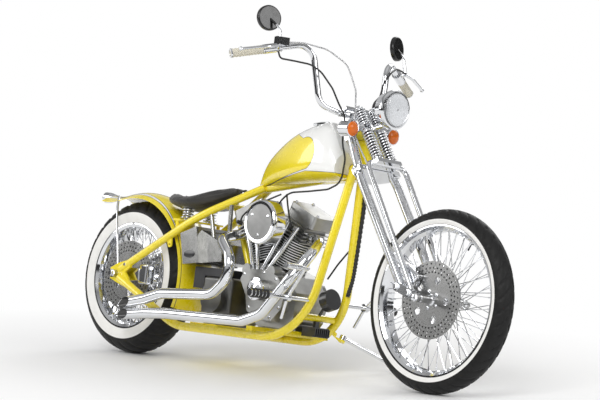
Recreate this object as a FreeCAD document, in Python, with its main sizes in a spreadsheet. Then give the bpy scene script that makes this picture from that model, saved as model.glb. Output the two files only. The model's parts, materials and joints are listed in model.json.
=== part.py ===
"""Bobber motorcycle with a rigid frame and a springer fork, leaning on its side stand.

The machine is laid out upright: X points forward, Y to the rider's left, Z up, with the
floor line under the rear axle as zero. Every object's Placement then leans it onto its
stand and moves the middle of its footprint to the origin.
"""
import FreeCAD
import Part
import Sketcher
import math
import os

from FreeCAD import Placement, Rotation, Vector

SIZES = [
    # stance and steering geometry
    ("wheelbase", 1726.6), ("lean_angle", 9.807), ("rake", 35.0), ("trail", 113.6),
    ("head_height", 862.0), ("head_length", 140.0), ("head_radius", 31.0),
    ("head_wall", 6.0), ("bearing_depth", 18.0), ("stem_radius", 12.5),
    ("running_clearance", 0.05), ("seat_gap", 0.3), ("bearing_gap", 1.0),
    # wheels
    ("front_tyre_radius", 346.0), ("front_tyre_width", 90.0), ("front_bead_radius", 285.0),
    ("front_bead_width", 78.0), ("front_crown_radius", 47.0),
    ("rear_tyre_radius", 320.0), ("rear_tyre_width", 150.0), ("rear_bead_radius", 222.0),
    ("rear_bead_width", 140.0), ("rear_crown_radius", 85.0), ("rim_wall", 5.0),
    ("front_well_radius", 265.0), ("rear_well_radius", 200.0),
    ("spoke_radius", 1.8), ("spokes_per_side", 20.0),
    ("front_hub_radius", 30.0), ("front_flange_radius", 46.0), ("front_hub_width", 76.0),
    ("rear_hub_radius", 36.0), ("rear_flange_radius", 58.0), ("rear_hub_width", 104.0),
    ("flange_width", 6.0), ("axle_radius", 10.0), ("axle_nut_radius", 16.0),
    ("disc_radius", 146.0), ("disc_width", 5.0), ("disc_hole_radius", 4.0),
    ("disc_holes", 20.0), ("disc_window_radius", 15.0), ("disc_windows", 5.0),
    ("front_disc_offset", 52.0), ("rear_disc_offset", 74.0),
    ("sprocket_radius", 98.0), ("sprocket_width", 6.0), ("chain_offset", 103.0),
    ("chain_width", 15.0), ("chain_height", 16.0), ("drive_sprocket_radius", 42.0),
    # frame tubes
    ("backbone_radius", 19.0), ("cradle_radius", 17.0), ("rail_radius", 16.0),
    ("cross_radius", 14.0), ("cradle_half_width", 120.0), ("cradle_height", 137.0),
    ("plate_offset", 133.0), ("plate_width", 10.0),
    ("tab_radius", 12.0), ("tab_bore_radius", 5.0), ("tab_thickness", 6.0),
    ("tab_offset", 119.0),
    # fork
    ("leg_radius", 17.5), ("leg_spacing", 99.0), ("leg_ahead", 28.0),
    ("spring_leg_radius", 11.0), ("spring_leg_spacing", 104.0), ("spring_leg_ahead", 80.0),
    ("spring_spacing", 37.0), ("spring_ahead", 88.0), ("spring_radius", 22.0),
    ("rebound_length", 76.0), ("tree_thickness", 22.0), ("yoke_drop", 80.0),
    ("rocker_offset", 117.0), ("rocker_width", 12.0), ("rocker_height", 34.0),
    ("pivot_below_head", 609.0), ("pivot_ahead", 32.0), ("pin_radius", 8.0),
    # bars and lights
    ("bar_radius", 12.7), ("grip_radius", 16.5), ("grip_length", 124.0),
    ("headlight_radius", 76.0), ("headlight_depth", 108.0), ("headlight_height", 1060.0),
    ("headlight_face", 1376.0), ("mirror_radius", 50.0), ("mirror_depth", 16.0),
    ("signal_radius", 31.0), ("signal_depth", 56.0), ("signal_spacing", 113.0),
    ("tail_light_radius", 24.0), ("tail_light_length", 92.0),
    # engine
    ("crank_x", 835.0), ("crank_height", 290.0), ("cylinder_tilt", 22.5),
    ("case_radius", 122.0), ("case_half_width", 78.0), ("barrel_radius", 54.0),
    ("fin_reach", 20.0), ("fin_pitch", 10.0), ("fin_thickness", 4.0), ("fins", 12.0),
    ("barrel_base", 140.0), ("barrel_length", 126.0), ("head_depth", 78.0),
    ("rocker_box_depth", 52.0), ("rocker_box_inner", 66.0), ("rocker_box_outer", 98.0),
    ("head_half_length", 76.0), ("head_half_width", 72.0),
    ("pushrod_radius", 9.0), ("air_cleaner_radius", 88.0), ("air_cleaner_depth", 56.0),
    ("exhaust_radius", 22.0), ("exhaust_wall", 2.0), ("exhaust_offset", 207.0),
    ("exhaust_slash", 70.0), ("exhaust_bore_length", 190.0),
    # body work
    ("fender_radius", 357.0), ("fender_half_width", 92.0), ("fender_sagitta", 30.0),
    ("fender_wall", 2.5), ("fender_centre_x", 12.0), ("strut_radius", 5.0),
    # stand
    ("stand_radius", 9.0), ("stand_foot_y", 372.0), ("stand_foot_x", 1225.0),
    ("stand_pivot_x", 1092.0), ("stand_pivot_y", 146.0), ("stand_pivot_height", 168.0),
    ("stand_eye_width", 18.0), ("stand_eye_radius", 14.0), ("stand_pin_radius", 6.0),
    # controls
    ("peg_radius", 15.0), ("peg_length", 100.0), ("cable_radius", 3.5),
    ("brake_line_radius", 3.0),
]


class Term:
    """A size that carries both its number and the spreadsheet formula behind it."""

    def __init__(self, value, text):
        self.value = value
        self.text = text

    def __float__(self):
        return float(self.value)

    def _joined(self, other, sign, result):
        text = other.text if isinstance(other, Term) else repr(float(other))
        return Term(result, "(%s %s %s)" % (self.text, sign, text))

    def __add__(self, other):
        return self._joined(other, "+", self.value + float(other))

    def __sub__(self, other):
        return self._joined(other, "-", self.value - float(other))

    def __mul__(self, other):
        return self._joined(other, "*", self.value * float(other))

    def __truediv__(self, other):
        return self._joined(other, "/", self.value / float(other))

    def __neg__(self):
        return self * -1.0


class Sheet:
    """The spreadsheet of driving sizes, read back as terms."""

    def __init__(self, document, rows):
        self.cells = document.addObject("Spreadsheet::Sheet", "Sizes")
        for number, (alias, value) in enumerate(rows, start=1):
            self.cells.set("A%d" % number, alias.replace("_", " "))
            self.cells.set("B%d" % number, str(value))
            self.cells.setAlias("B%d" % number, alias)
        document.recompute()

    def __getattr__(self, alias):
        return Term(float(self.cells.get(alias)), "Sizes." + alias)


doc = FreeCAD.newDocument("Bobber")
size = Sheet(doc, SIZES)
parts = {}
upright = {}

LEAN = Placement(Vector(0, 0, 0), Rotation(Vector(1, 0, 0), -float(size.lean_angle)))
AXLE_TURN = Rotation(Vector(1, 0, 0), -90)
LEAN_RADIANS = math.radians(float(size.lean_angle))
RAKE_RADIANS = math.radians(float(size.rake))


def n(term):
    """The plain number of a size or sum of sizes."""
    return float(term)


def resting_height(radius, crown):
    """Height of a leaning wheel's centre whose round tread touches the floor."""
    return n(radius) + n(crown) * (1.0 / math.cos(LEAN_RADIANS) - 1.0)


REAR_AXLE = Vector(0, 0, resting_height(size.rear_tyre_radius, size.rear_crown_radius))
FRONT_AXLE = Vector(n(size.wheelbase), 0,
                    resting_height(size.front_tyre_radius, size.front_crown_radius))
STEER_UP = Vector(-math.sin(RAKE_RADIANS), 0, math.cos(RAKE_RADIANS))
STEER_AHEAD = Vector(math.cos(RAKE_RADIANS), 0, math.sin(RAKE_RADIANS))
HEAD = Vector(n(size.wheelbase) + n(size.trail) - n(size.head_height) * math.tan(RAKE_RADIANS),
              0, n(size.head_height))
CRANK = Vector(n(size.crank_x), 0, n(size.crank_height))
SPACER_RADIUS = 15.0
SIDES = (-1, 1)
RIGHT, LEFT = SIDES


# ---------------------------------------------------------------- making shapes

def add(label, obj, base=None):
    """Keeps an object as a sub-part: its label names its file, its Placement leans it."""
    obj.Label = label
    obj.Placement = LEAN.multiply(base if base else Placement())
    parts[label] = obj
    return obj


def feature(label, shapes):
    """A sub-part whose solids are worked out with Part's own functions."""
    obj = doc.addObject("Part::Feature", label)
    solids = [solid for shape in shapes for solid in shape.Solids]
    obj.Shape = solids[0] if len(solids) == 1 else Part.Compound(solids)
    upright[label] = obj.Shape.copy()
    return add(label, obj)


def rod(start, end, radius, bore=0.0):
    """A straight round bar, or a tube when it has a bore."""
    along = end - start
    bar = Part.makeCylinder(n(radius), along.Length, start, along)
    if bore:
        bar = bar.cut(Part.makeCylinder(n(bore), along.Length, start, along))
    return bar


def bar_along_y(centre, radius, low, high, bore=0.0):
    """A round bar across the machine between two Y positions."""
    start = Vector(centre.x, low, centre.z)
    return rod(start, Vector(centre.x, high, centre.z), radius, bore)


def box(low, high):
    """A block between two opposite corners."""
    corner = Vector(min(low.x, high.x), min(low.y, high.y), min(low.z, high.z))
    return Part.makeBox(abs(high.x - low.x), abs(high.y - low.y), abs(high.z - low.z), corner)


def rounded_path(points, bend):
    """Straight runs joined by tangent arcs, each as large as its two runs allow."""
    edges = []
    start = points[0]
    for before, corner, after in zip(points, points[1:], points[2:]):
        inward = (before - corner).normalize()
        outward = (after - corner).normalize()
        half_turn = (math.pi - inward.getAngle(outward)) / 2.0
        room = 0.45 * min(before.distanceToPoint(corner), corner.distanceToPoint(after))
        reach = min(room, bend * math.tan(half_turn))
        enter = corner + inward * reach
        leave = corner + outward * reach
        centre_way = (inward + outward).normalize()
        radius = reach / math.tan(half_turn)
        centre = corner + centre_way * (radius / math.cos(half_turn))
        middle = centre - centre_way * radius
        edges.append(Part.LineSegment(start, enter).toShape())
        edges.append(Part.Arc(enter, middle, leave).toShape())
        start = leave
    edges.append(Part.LineSegment(start, points[-1]).toShape())
    return Part.Wire(edges)


def bent_tube(points, radius, bend, bore=0.0):
    """A round tube along straight runs joined by tangent arcs."""
    spine = rounded_path(points, bend)
    heading = points[1] - points[0]
    ring = Part.Wire(Part.makeCircle(n(radius), points[0], heading))
    tube = spine.makePipeShell([ring], True, True)
    if bore:
        inner = Part.Wire(Part.makeCircle(n(bore), points[0], heading))
        tube = tube.cut(spine.makePipeShell([inner], True, True))
    return tube


def mirrored(shape):
    """The same shape on the other side of the machine."""
    return shape.mirror(Vector(0, 0, 0), Vector(0, 1, 0))


def plate(outline, low, high):
    """A flat plate in the machine's side view, between two Y positions."""
    corners = [Vector(x, low, z) for x, z in outline]
    face = Part.Face(Part.makePolygon(corners + corners[:1]))
    return face.extrude(Vector(0, high - low, 0))


def joined(shapes):
    """Several touching shapes welded into one."""
    whole = shapes[0].multiFuse(shapes[1:])
    merged = whole.removeSplitter()
    return merged if merged.isValid() else whole


def largest(shape):
    """The biggest solid of a shape, without the slivers that a coped end leaves."""
    return max(shape.Solids, key=lambda solid: solid.Volume)


def cut_by(shape, others):
    """A shape coped to fit against its neighbours."""
    for other in others:
        shape = shape.cut(other)
    return shape


def fork_point(along, ahead, side):
    """A point given along the steering axis, ahead of it and to the left."""
    return HEAD + STEER_UP * along + STEER_AHEAD * ahead + Vector(0, side, 0)


def fork_plate(along, thickness, outline):
    """A plate square to the steering axis; its outline lists (ahead, side) corners."""
    corners = [fork_point(along, ahead, side) for ahead, side in outline]
    face = Part.Face(Part.makePolygon(corners + corners[:1]))
    return face.extrude(STEER_UP * thickness)


# ------------------------------------------------------------- sketched bodies

def point_on(sketch, edge, end, across, upright):
    """Ties one sketch point to the sheet."""
    for kind, term, axis in (("DistanceX", across, -2), ("DistanceY", upright, -1)):
        if abs(n(term)) < 1e-9:
            sketch.addConstraint(Sketcher.Constraint("PointOnObject", edge, end, axis))
            continue
        index = sketch.addConstraint(Sketcher.Constraint(kind, edge, end, n(term)))
        if isinstance(term, Term):
            sketch.setExpression("Constraints[%d]" % index, term.text)


def arc_between(start, end, radius):
    """An arc that bulges to the right of the way from start to end."""
    chord = end - start
    middle = (start + end) * 0.5
    sideways = Vector(-chord.y, chord.x, 0).normalize()
    rise = math.sqrt(max(radius ** 2 - (chord.Length / 2.0) ** 2, 0.0))
    centre = middle + sideways * rise
    first = math.atan2(start.y - centre.y, start.x - centre.x)
    last = math.atan2(end.y - centre.y, end.x - centre.x)
    circle = Part.Circle(centre, Vector(0, 0, 1), radius)
    return Part.ArcOfCircle(circle, first, last)


def outline_sketch(body, role, outline, name):
    """A closed outline; a third number makes the edge that leaves a point an arc."""
    sketch = body.newObject("Sketcher::SketchObject", name)
    plane = [item for item in body.Origin.OriginFeatures if item.Role == role][0]
    sketch.AttachmentSupport = [(plane, "")]
    sketch.MapMode = "FlatFace"
    count = len(outline)
    for index, corner in enumerate(outline):
        following = outline[(index + 1) % count]
        start = Vector(n(corner[0]), n(corner[1]), 0)
        end = Vector(n(following[0]), n(following[1]), 0)
        if len(corner) == 3:
            sketch.addGeometry(arc_between(start, end, n(corner[2])), False)
        else:
            sketch.addGeometry(Part.LineSegment(start, end), False)
    for index in range(count):
        following = (index + 1) % count
        sketch.addConstraint(Sketcher.Constraint("Coincident", index, 2, following, 1))
    for index, corner in enumerate(outline):
        point_on(sketch, index, 1, corner[0], corner[1])
        if len(corner) == 3:
            number = sketch.addConstraint(Sketcher.Constraint("Radius", index, n(corner[2])))
            if isinstance(corner[2], Term):
                sketch.setExpression("Constraints[%d]" % number, corner[2].text)
    return sketch


def turned_body(label, outline, base):
    """A body turned about its own Z axis from an outline of (radius, height) points."""
    body = doc.addObject("PartDesign::Body", label)
    sketch = outline_sketch(body, "XZ_Plane", outline, label + "_profile")
    turn = body.newObject("PartDesign::Revolution", label + "_turn")
    turn.Profile = sketch
    turn.ReferenceAxis = (sketch, ["V_Axis"])
    turn.Angle = 360.0
    body.Tip = turn
    doc.recompute()
    return add(label, body, base)


def hole_ring(body, label, radius_term, centre_term, count_term):
    """A ring of round holes right through a turned body."""
    sketch = body.newObject("Sketcher::SketchObject", label + "_sketch")
    plane = [item for item in body.Origin.OriginFeatures if item.Role == "XY_Plane"][0]
    sketch.AttachmentSupport = [(plane, "")]
    sketch.MapMode = "FlatFace"
    centre = Vector(n(centre_term), 0, 0)
    sketch.addGeometry(Part.Circle(centre, Vector(0, 0, 1), n(radius_term)), False)
    point_on(sketch, 0, 3, centre_term, 0.0)
    number = sketch.addConstraint(Sketcher.Constraint("Radius", 0, n(radius_term)))
    sketch.setExpression("Constraints[%d]" % number, radius_term.text)
    pocket = body.newObject("PartDesign::Pocket", label + "_pocket")
    pocket.Profile = sketch
    pocket.Type = "ThroughAll"
    pocket.SideType = "Symmetric"
    pattern = body.newObject("PartDesign::PolarPattern", label + "_ring")
    pattern.Originals = [pocket]
    pattern.Axis = (sketch, ["N_Axis"])
    pattern.Angle = 360.0
    pattern.setExpression("Occurrences", count_term.text)
    body.Tip = pattern
    doc.recompute()


# ----------------------------------------------------------------------- wheels

def tyre(label, axle, radius, width, bead, bead_width, crown):
    """A solid tyre ring: flat inside on the rim, round tread outside."""
    half = width / 2.0
    seat = bead_width / 2.0
    shoulder = math.sqrt(n(crown) ** 2 - n(half) ** 2)
    shoulder_radius = radius - crown + shoulder
    outline = [(bead, -seat), (shoulder_radius, -half, crown), (shoulder_radius, half),
               (bead, seat)]
    return turned_body(label, outline, Placement(axle, AXLE_TURN))


def rim(label, axle, bead, bead_width, well):
    """A rolled rim: two lips and a well between them, with a constant wall."""
    lip = bead - size.seat_gap
    half = bead_width / 2.0
    wall = size.rim_wall
    mid = (bead + well) / 2.0
    outer = [(lip, -half), (mid, -half + wall), (well, -half / 2.0), (well, half / 2.0),
             (mid, half - wall), (lip, half)]
    inner = [(lip - wall, half + size.seat_gap), (mid - wall, half - wall * 1.6),
             (well - wall, half / 2.0 - wall * 0.5), (well - wall, -half / 2.0 + wall * 0.5),
             (mid - wall, -half + wall * 1.6), (lip - wall, -half - size.seat_gap)]
    return turned_body(label, outer + inner, Placement(axle, AXLE_TURN))


def spokes(label, axle, flange, hub_width, rim_inner, count):
    """Straight spokes from both hub flanges to the well of the rim."""
    bars = []
    half = n(hub_width) / 2.0
    for side in SIDES:
        for index in range(int(n(count))):
            angle = 2.0 * math.pi * (index + 0.25 * side) / n(count)
            ray = Vector(math.cos(angle), 0, math.sin(angle))
            start = axle + ray * (n(flange) + n(size.seat_gap)) + Vector(0, side * (half - 3), 0)
            end = axle + ray * (n(rim_inner) - 1.2) + Vector(0, side * 9.0, 0)
            bars.append(rod(start, end, size.spoke_radius))
    return feature(label, bars)


def hub_outline(barrel, flange, width, reach_left, reach_right):
    """Half section of a hub: barrel, two flanges and its two end bosses."""
    half = width / 2.0
    wing = size.flange_width
    bore = size.axle_radius + size.running_clearance
    boss = size.axle_radius + 12.0
    return [(bore, -reach_right), (boss, -reach_right), (boss, -half), (flange, -half),
            (flange, -half + wing), (barrel, -half + wing), (barrel, half - wing),
            (flange, half - wing), (flange, half), (boss, half), (boss, reach_left),
            (bore, reach_left)]


def disc(label, axle, hub_radius, offset):
    """A drilled brake disc on the machine's right."""
    near = -offset
    far = -offset - size.disc_width
    inner = hub_radius
    outline = [(inner, far), (size.disc_radius, far), (size.disc_radius, near), (inner, near)]
    body = turned_body(label, outline, Placement(axle, AXLE_TURN))
    for ring, share in enumerate((0.93, 0.84, 0.75)):
        hole_ring(body, "%s_holes%d" % (label, ring), size.disc_hole_radius,
                  size.disc_radius * share, size.disc_holes)
    hole_ring(body, label + "_windows", size.disc_window_radius, size.disc_radius * 0.52,
              size.disc_windows)
    return body


def wheels():
    """Both wheels: tyre, rim, spokes, hub and disc, with the sprocket on the rear hub."""
    gap = size.seat_gap
    tyre("front_tyre", FRONT_AXLE, size.front_tyre_radius, size.front_tyre_width,
         size.front_bead_radius, size.front_bead_width, size.front_crown_radius)
    rim("front_rim", FRONT_AXLE, size.front_bead_radius, size.front_bead_width,
        size.front_well_radius)
    spokes("front_spokes", FRONT_AXLE, size.front_flange_radius, size.front_hub_width,
           size.front_well_radius - size.rim_wall, size.spokes_per_side)
    reach = size.front_disc_offset
    front = hub_outline(size.front_hub_radius, size.front_flange_radius,
                        size.front_hub_width, reach, reach + size.disc_width)
    turned_body("front_hub", front, Placement(FRONT_AXLE, AXLE_TURN))
    disc("front_brake_disc", FRONT_AXLE, size.axle_radius + 12.0 + gap,
         size.front_disc_offset)
    tyre("rear_tyre", REAR_AXLE, size.rear_tyre_radius, size.rear_tyre_width,
         size.rear_bead_radius, size.rear_bead_width, size.rear_crown_radius)
    rim("rear_rim", REAR_AXLE, size.rear_bead_radius, size.rear_bead_width,
        size.rear_well_radius)
    spokes("rear_spokes", REAR_AXLE, size.rear_flange_radius, size.rear_hub_width,
           size.rear_well_radius - size.rim_wall, size.spokes_per_side)
    rear = hub_outline(size.rear_hub_radius, size.rear_flange_radius, size.rear_hub_width,
                       size.chain_offset + size.sprocket_width,
                       size.rear_disc_offset + size.disc_width)
    turned_body("rear_hub", rear, Placement(REAR_AXLE, AXLE_TURN))
    disc("rear_brake_disc", REAR_AXLE, size.axle_radius + 12.0 + gap,
         size.rear_disc_offset)
    low = size.chain_offset - size.sprocket_width / 2.0
    high = size.chain_offset + size.sprocket_width / 2.0
    bore = size.axle_radius + 12.0 + gap
    ring = [(bore, low), (size.sprocket_radius, low), (size.sprocket_radius, high), (bore, high)]
    body = turned_body("rear_sprocket", ring, Placement(REAR_AXLE, AXLE_TURN))
    hole_ring(body, "sprocket_windows", size.disc_window_radius,
              size.sprocket_radius * 0.62, size.disc_windows)


# ------------------------------------------------------------------------ frame

def head_tube():
    """The steering head: a tube with a bearing seat at each end."""
    half = n(size.head_length) / 2.0
    low = fork_point(-half, 0, 0)
    high = fork_point(half, 0, 0)
    tube = rod(low, high, size.head_radius, size.head_radius - size.head_wall)
    bore = n(size.stem_radius) + n(size.running_clearance)
    depth = n(size.bearing_depth)
    seats = [rod(low, low + STEER_UP * depth, size.head_radius - 1.0, bore),
             rod(high - STEER_UP * depth, high, size.head_radius - 1.0, bore)]
    return joined([tube] + seats)


def head_core():
    """The space that the steering head keeps clear for its stem."""
    half = n(size.head_length) / 2.0 + 2.0
    return rod(fork_point(-half, 0, 0), fork_point(half, 0, 0), size.head_radius - 1.0)


CRADLE_BEND = 250.0
TAB_CENTRE = Vector(292, 0, 464)
TAB_UP = Vector(-8, 0, 34)
SEAT_JOINT = Vector(700, 0, 727)
SEAT_CROSS = Vector(541, 0, 642)
LOWER_CROSS = Vector(790, 0, 137)
FRONT_CROSS = Vector(1088, 0, 233)
REAR_CROSS = Vector(420, 0, 137)


def backbone():
    """Head tube, backbone under the tank and the seat tube behind the engine."""
    spine = bent_tube([HEAD - STEER_UP * 26.0, Vector(1000, 0, 773), SEAT_JOINT],
                      size.backbone_radius, 400.0)
    spine = spine.cut(head_core())
    return joined([head_tube(), spine])


def cradle_route(side):
    """Down from the head, along the bottom and up to the axle."""
    low = n(size.cradle_height)
    wide = n(size.cradle_half_width)
    return [Vector(1210, side * 24, 822), Vector(1121, side * 112, low),
            Vector(388, side * wide, low), Vector(24, side * 138, 308)]


def cradle_tube(side):
    """One continuous tube of the lower frame."""
    return bent_tube(cradle_route(side), size.cradle_radius, CRADLE_BEND)


def rail_tab(side, centre, up):
    """A small flat tab with a hole, welded to the outside of a rail."""
    reach = n(size.tab_radius)
    outer = side * n(size.tab_offset)
    y0, y1 = sorted((outer, outer - side * n(size.tab_thickness)))
    eye = bar_along_y(centre, reach, y0, y1)
    root = centre + up
    across = Vector(up.z, 0, -up.x).normalize() * reach
    corners = [centre + across, root + across * 1.3, root - across * 1.3, centre - across]
    web = plate([(corner.x, corner.z) for corner in corners], y0, y1)
    hole = bar_along_y(centre, size.tab_bore_radius, y0 - 1, y1 + 1)
    return joined([eye, web]).cut(hole)


def upper_rail(side, room=0.0):
    """The tube from the seat joint back to the axle plate."""
    points = [Vector(712, side * 14, 729), Vector(430, side * 105, 588),
              Vector(26, side * 138, 342)]
    return bent_tube(points, size.rail_radius + room, 900.0)


def axle_plate(side):
    """The flat end that joins the two rear tubes and holds the axle."""
    low = n(size.plate_offset)
    outline = [(-30, 300), (-34, 345), (10, 366), (74, 384), (92, 356), (60, 332),
               (96, 292), (80, 266), (0, 290)]
    y0, y1 = sorted((side * low, side * (low + n(size.plate_width))))
    hole = bar_along_y(REAR_AXLE, size.axle_radius + size.running_clearance, y0 - 1, y1 + 1)
    return plate(outline, y0, y1).cut(hole)


def frame():
    """The welded frame as its tubes, each coped to the one that it meets."""
    spine = backbone()
    rails = [joined([upper_rail(side).cut(spine), axle_plate(side),
                     rail_tab(side, TAB_CENTRE, TAB_UP)]) for side in SIDES]
    rails[1] = rails[1].cut(rails[0])
    cradles = [cut_by(cradle_tube(side), [spine, head_core()] + rails) for side in SIDES]
    cradles[1] = cradles[1].cut(cradles[0])
    tubes = rails + cradles
    wide = n(size.cradle_half_width)
    across = []
    for centre, reach in ((SEAT_CROSS, 72), (LOWER_CROSS, wide), (FRONT_CROSS, 98),
                          (REAR_CROSS, wide)):
        across.append(cut_by(bar_along_y(centre, size.cross_radius, -reach, reach), tubes))
    down = rod(SEAT_CROSS, LOWER_CROSS, size.cross_radius - 1.5)
    across.append(cut_by(down, across))
    across.append(cut_by(seat_bridge(), tubes))
    across.append(cut_by(stand_bracket(), tubes))
    for low, high in ((985, 1035), (815, 850)):
        across.append(cut_by(box(Vector(low, -wide, 150), Vector(high, wide, 172)), tubes))
    across.append(cut_by(box(Vector(480, -wide, 150), Vector(640, wide, 160)), tubes))
    feature("frame_backbone", [spine])
    feature("frame_upper_rails", rails)
    feature("frame_cradle_tubes", cradles)
    feature("frame_cross_members", across)
    return [spine] + tubes + across


def seat_bridge():
    """The bar between the upper rails that carries the seat springs."""
    posts = [rod(Vector(318, side * 112, 505), Vector(318, side * 112, 566), 8.0)
             for side in SIDES]
    deck = box(Vector(296, -120, 564), Vector(340, 120, 572))
    return joined([deck] + posts)


def stand_places():
    """The stand's pivot, the middle of its foot on the floor and its hinge axis."""
    pivot = Vector(n(size.stand_pivot_x), n(size.stand_pivot_y), n(size.stand_pivot_height))
    foot_y = n(size.stand_foot_y)
    sole = Vector(n(size.stand_foot_x), foot_y, foot_y * math.tan(LEAN_RADIANS))
    down = (sole - pivot).normalize()
    folded = Vector(-1.0, 0.06, 0.02).normalize()
    return pivot, sole, down.cross(folded).normalize()


def stand_bracket():
    """The lug on the left tube: a cheek and the pin that the side stand turns on."""
    pivot, sole, axis = stand_places()
    half = n(size.stand_eye_width) / 2.0
    inward = axis if axis.y < 0 else axis * -1.0
    cheek_near = pivot + inward * (half + 0.5)
    cheek_far = pivot + inward * (half + 8.5)
    cheek = rod(cheek_near, cheek_far, size.stand_eye_radius)
    pin = rod(pivot - inward * (half + 3.0), cheek_far, size.stand_pin_radius)
    route = rounded_path(cradle_route(LEFT), CRADLE_BEND)
    nearest = route.distToShape(Part.Vertex(cheek_near))[1][0][0]
    arm = rod(cheek_near + inward * 4.0, nearest, 9.0)
    arm = arm.cut(rod(cheek_near - inward * 30.0, cheek_near, 30.0))
    return joined([cheek, pin, arm])


# ----------------------------------------------------------------------- engine

def tilted(side, distance, along=0.0, y=0.0):
    """A point in a cylinder's own axes: out from the crank and along the machine."""
    angle = math.radians(n(size.cylinder_tilt)) * side
    out = Vector(math.sin(angle), 0, math.cos(angle))
    forward = Vector(math.cos(angle), 0, -math.sin(angle))
    return CRANK + out * distance + forward * along + Vector(0, y, 0)


def cylinder_axis(side):
    return tilted(side, 1.0) - CRANK


def tilted_block(side, low, high, inner, outer, half_width):
    """A block square to a cylinder; inner and outer reach towards and away from the other one."""
    corners = [tilted(side, low, side * along, y) for along, y in
               ((-inner, -half_width), (outer, -half_width),
                (outer, half_width), (-inner, half_width))]
    face = Part.Face(Part.makePolygon(corners + corners[:1]))
    return face.extrude(cylinder_axis(side) * (high - low))


def barrel(side):
    """A finned cylinder barrel."""
    base = n(size.barrel_base)
    top = base + n(size.barrel_length)
    start = tilted(side, base)
    core = rod(start, tilted(side, top), size.barrel_radius)
    fins = []
    for index in range(int(n(size.fins))):
        at = base + 8.0 + index * n(size.fin_pitch)
        reach = size.barrel_radius + size.fin_reach
        fins.append(rod(tilted(side, at), tilted(side, at + n(size.fin_thickness)), reach))
    other_half = box(CRANK + Vector(-300 * side, -200, 0), CRANK + Vector(0.5 * side, 200, 600))
    return joined([core] + fins).cut(other_half)


def cylinder_head(side):
    """A finned head with its rocker box on top."""
    low = n(size.barrel_base) + n(size.barrel_length)
    top = low + n(size.head_depth)
    pieces = [tilted_block(side, low, top, 60.0, 60.0, 56.0)]
    fins = 5
    pitch = (n(size.head_depth) - n(size.fin_thickness)) / fins
    for index in range(fins):
        at = low + 6.0 + index * pitch
        half = n(size.head_half_length)
        block = tilted_block(side, at, at + n(size.fin_thickness), half, half,
                              n(size.head_half_width))
        pieces.append(block)
    box_low = tilted_block(side, top, top + n(size.rocker_box_depth),
                           n(size.rocker_box_inner), n(size.rocker_box_outer), 64.0)
    uprights = [edge for edge in box_low.Edges
                if abs(edge.Length - n(size.rocker_box_depth)) < 0.01]
    box_low = box_low.makeFillet(16.0, uprights)
    pieces.append(box_low)
    return joined(pieces)


CASE_OUTLINE = [(800, 208), (828, 176), (1000, 176), (1030, 214), (1030, 320), (980, 384),
                (892, 418), (798, 424), (728, 388), (734, 345), (778, 290)]


def engine():
    """Crankcase with its timing chest, barrels, heads, pushrod tubes and intake."""
    half = n(size.case_half_width)
    barrels = [barrel(side) for side in SIDES]
    heads = [cylinder_head(side) for side in SIDES]
    case = plate(CASE_OUTLINE, -half, half + 10)
    chest = plate([(806, 232), (850, 200), (950, 200), (1000, 250), (1010, 320), (960, 376),
                   (890, 398), (772, 394), (748, 352), (790, 290)], -half - 44, -half)
    nose_centre = Vector(882, 0, 318)
    nose = bar_along_y(nose_centre, 42.0, -half - 76, -half - 40)
    feet = [box(Vector(988, -60, 172), Vector(1032, 60, 200)),
            box(Vector(818, -60, 172), Vector(848, 60, 200))]
    blocks = [bar_along_y(Vector(x, 0, 392), 24.0, -half - 40, -half + 4) for x in (772, 912)]
    case = joined([case, chest, nose] + feet + blocks)
    case = cut_by(case, barrels)
    feature("crankcase", [case])
    feature("cylinders", barrels)
    feature("cylinder_heads", heads)
    feature("pushrod_tubes", pushrods(case, barrels, heads))
    air_cleaner(barrels + heads + [case])
    return heads


def pushrods(case, barrels, heads):
    """Four slim tubes from the tappet blocks up to the rocker boxes."""
    top = n(size.barrel_base) + n(size.barrel_length) + n(size.head_depth)
    reach = -n(size.case_half_width) - 26.0
    tubes = []
    for side in SIDES:
        for lean in (-14.0, 16.0):
            foot = tilted(side, 96.0, lean * 0.8 - side * 18.0, reach)
            crown = tilted(side, top - 20.0, lean * 2.0, -n(size.head_half_width) + 4.0)
            tubes.append(rod(foot, crown, size.pushrod_radius))
    return [largest(cut_by(tube, [case] + barrels + heads)) for tube in tubes]


def air_cleaner(neighbours):
    """A round air cleaner beside the cylinders on its inlet trunk."""
    centre = Vector(903, 0, 578)
    inner = -144.0
    outer = inner - n(size.air_cleaner_depth)
    shell = bar_along_y(centre, size.air_cleaner_radius, outer, inner)
    shell = shell.makeFillet(12.0, [edge for edge in shell.Edges
                                    if edge.Curve.TypeId == "Part::GeomCircle"
                                    and edge.CenterOfMass.y < outer + 1.0])
    trunk = rod(centre + Vector(0, inner, 0), Vector(838, -20, 566), 30.0)
    manifold = rod(Vector(778, -20, 560), Vector(888, -20, 560), 24.0)
    bowl = box(Vector(822, -106, 500), Vector(876, -50, 566))
    whole = cut_by(joined([shell, trunk, manifold, bowl]), neighbours)
    feature("air_cleaner", [largest(whole)])


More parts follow.
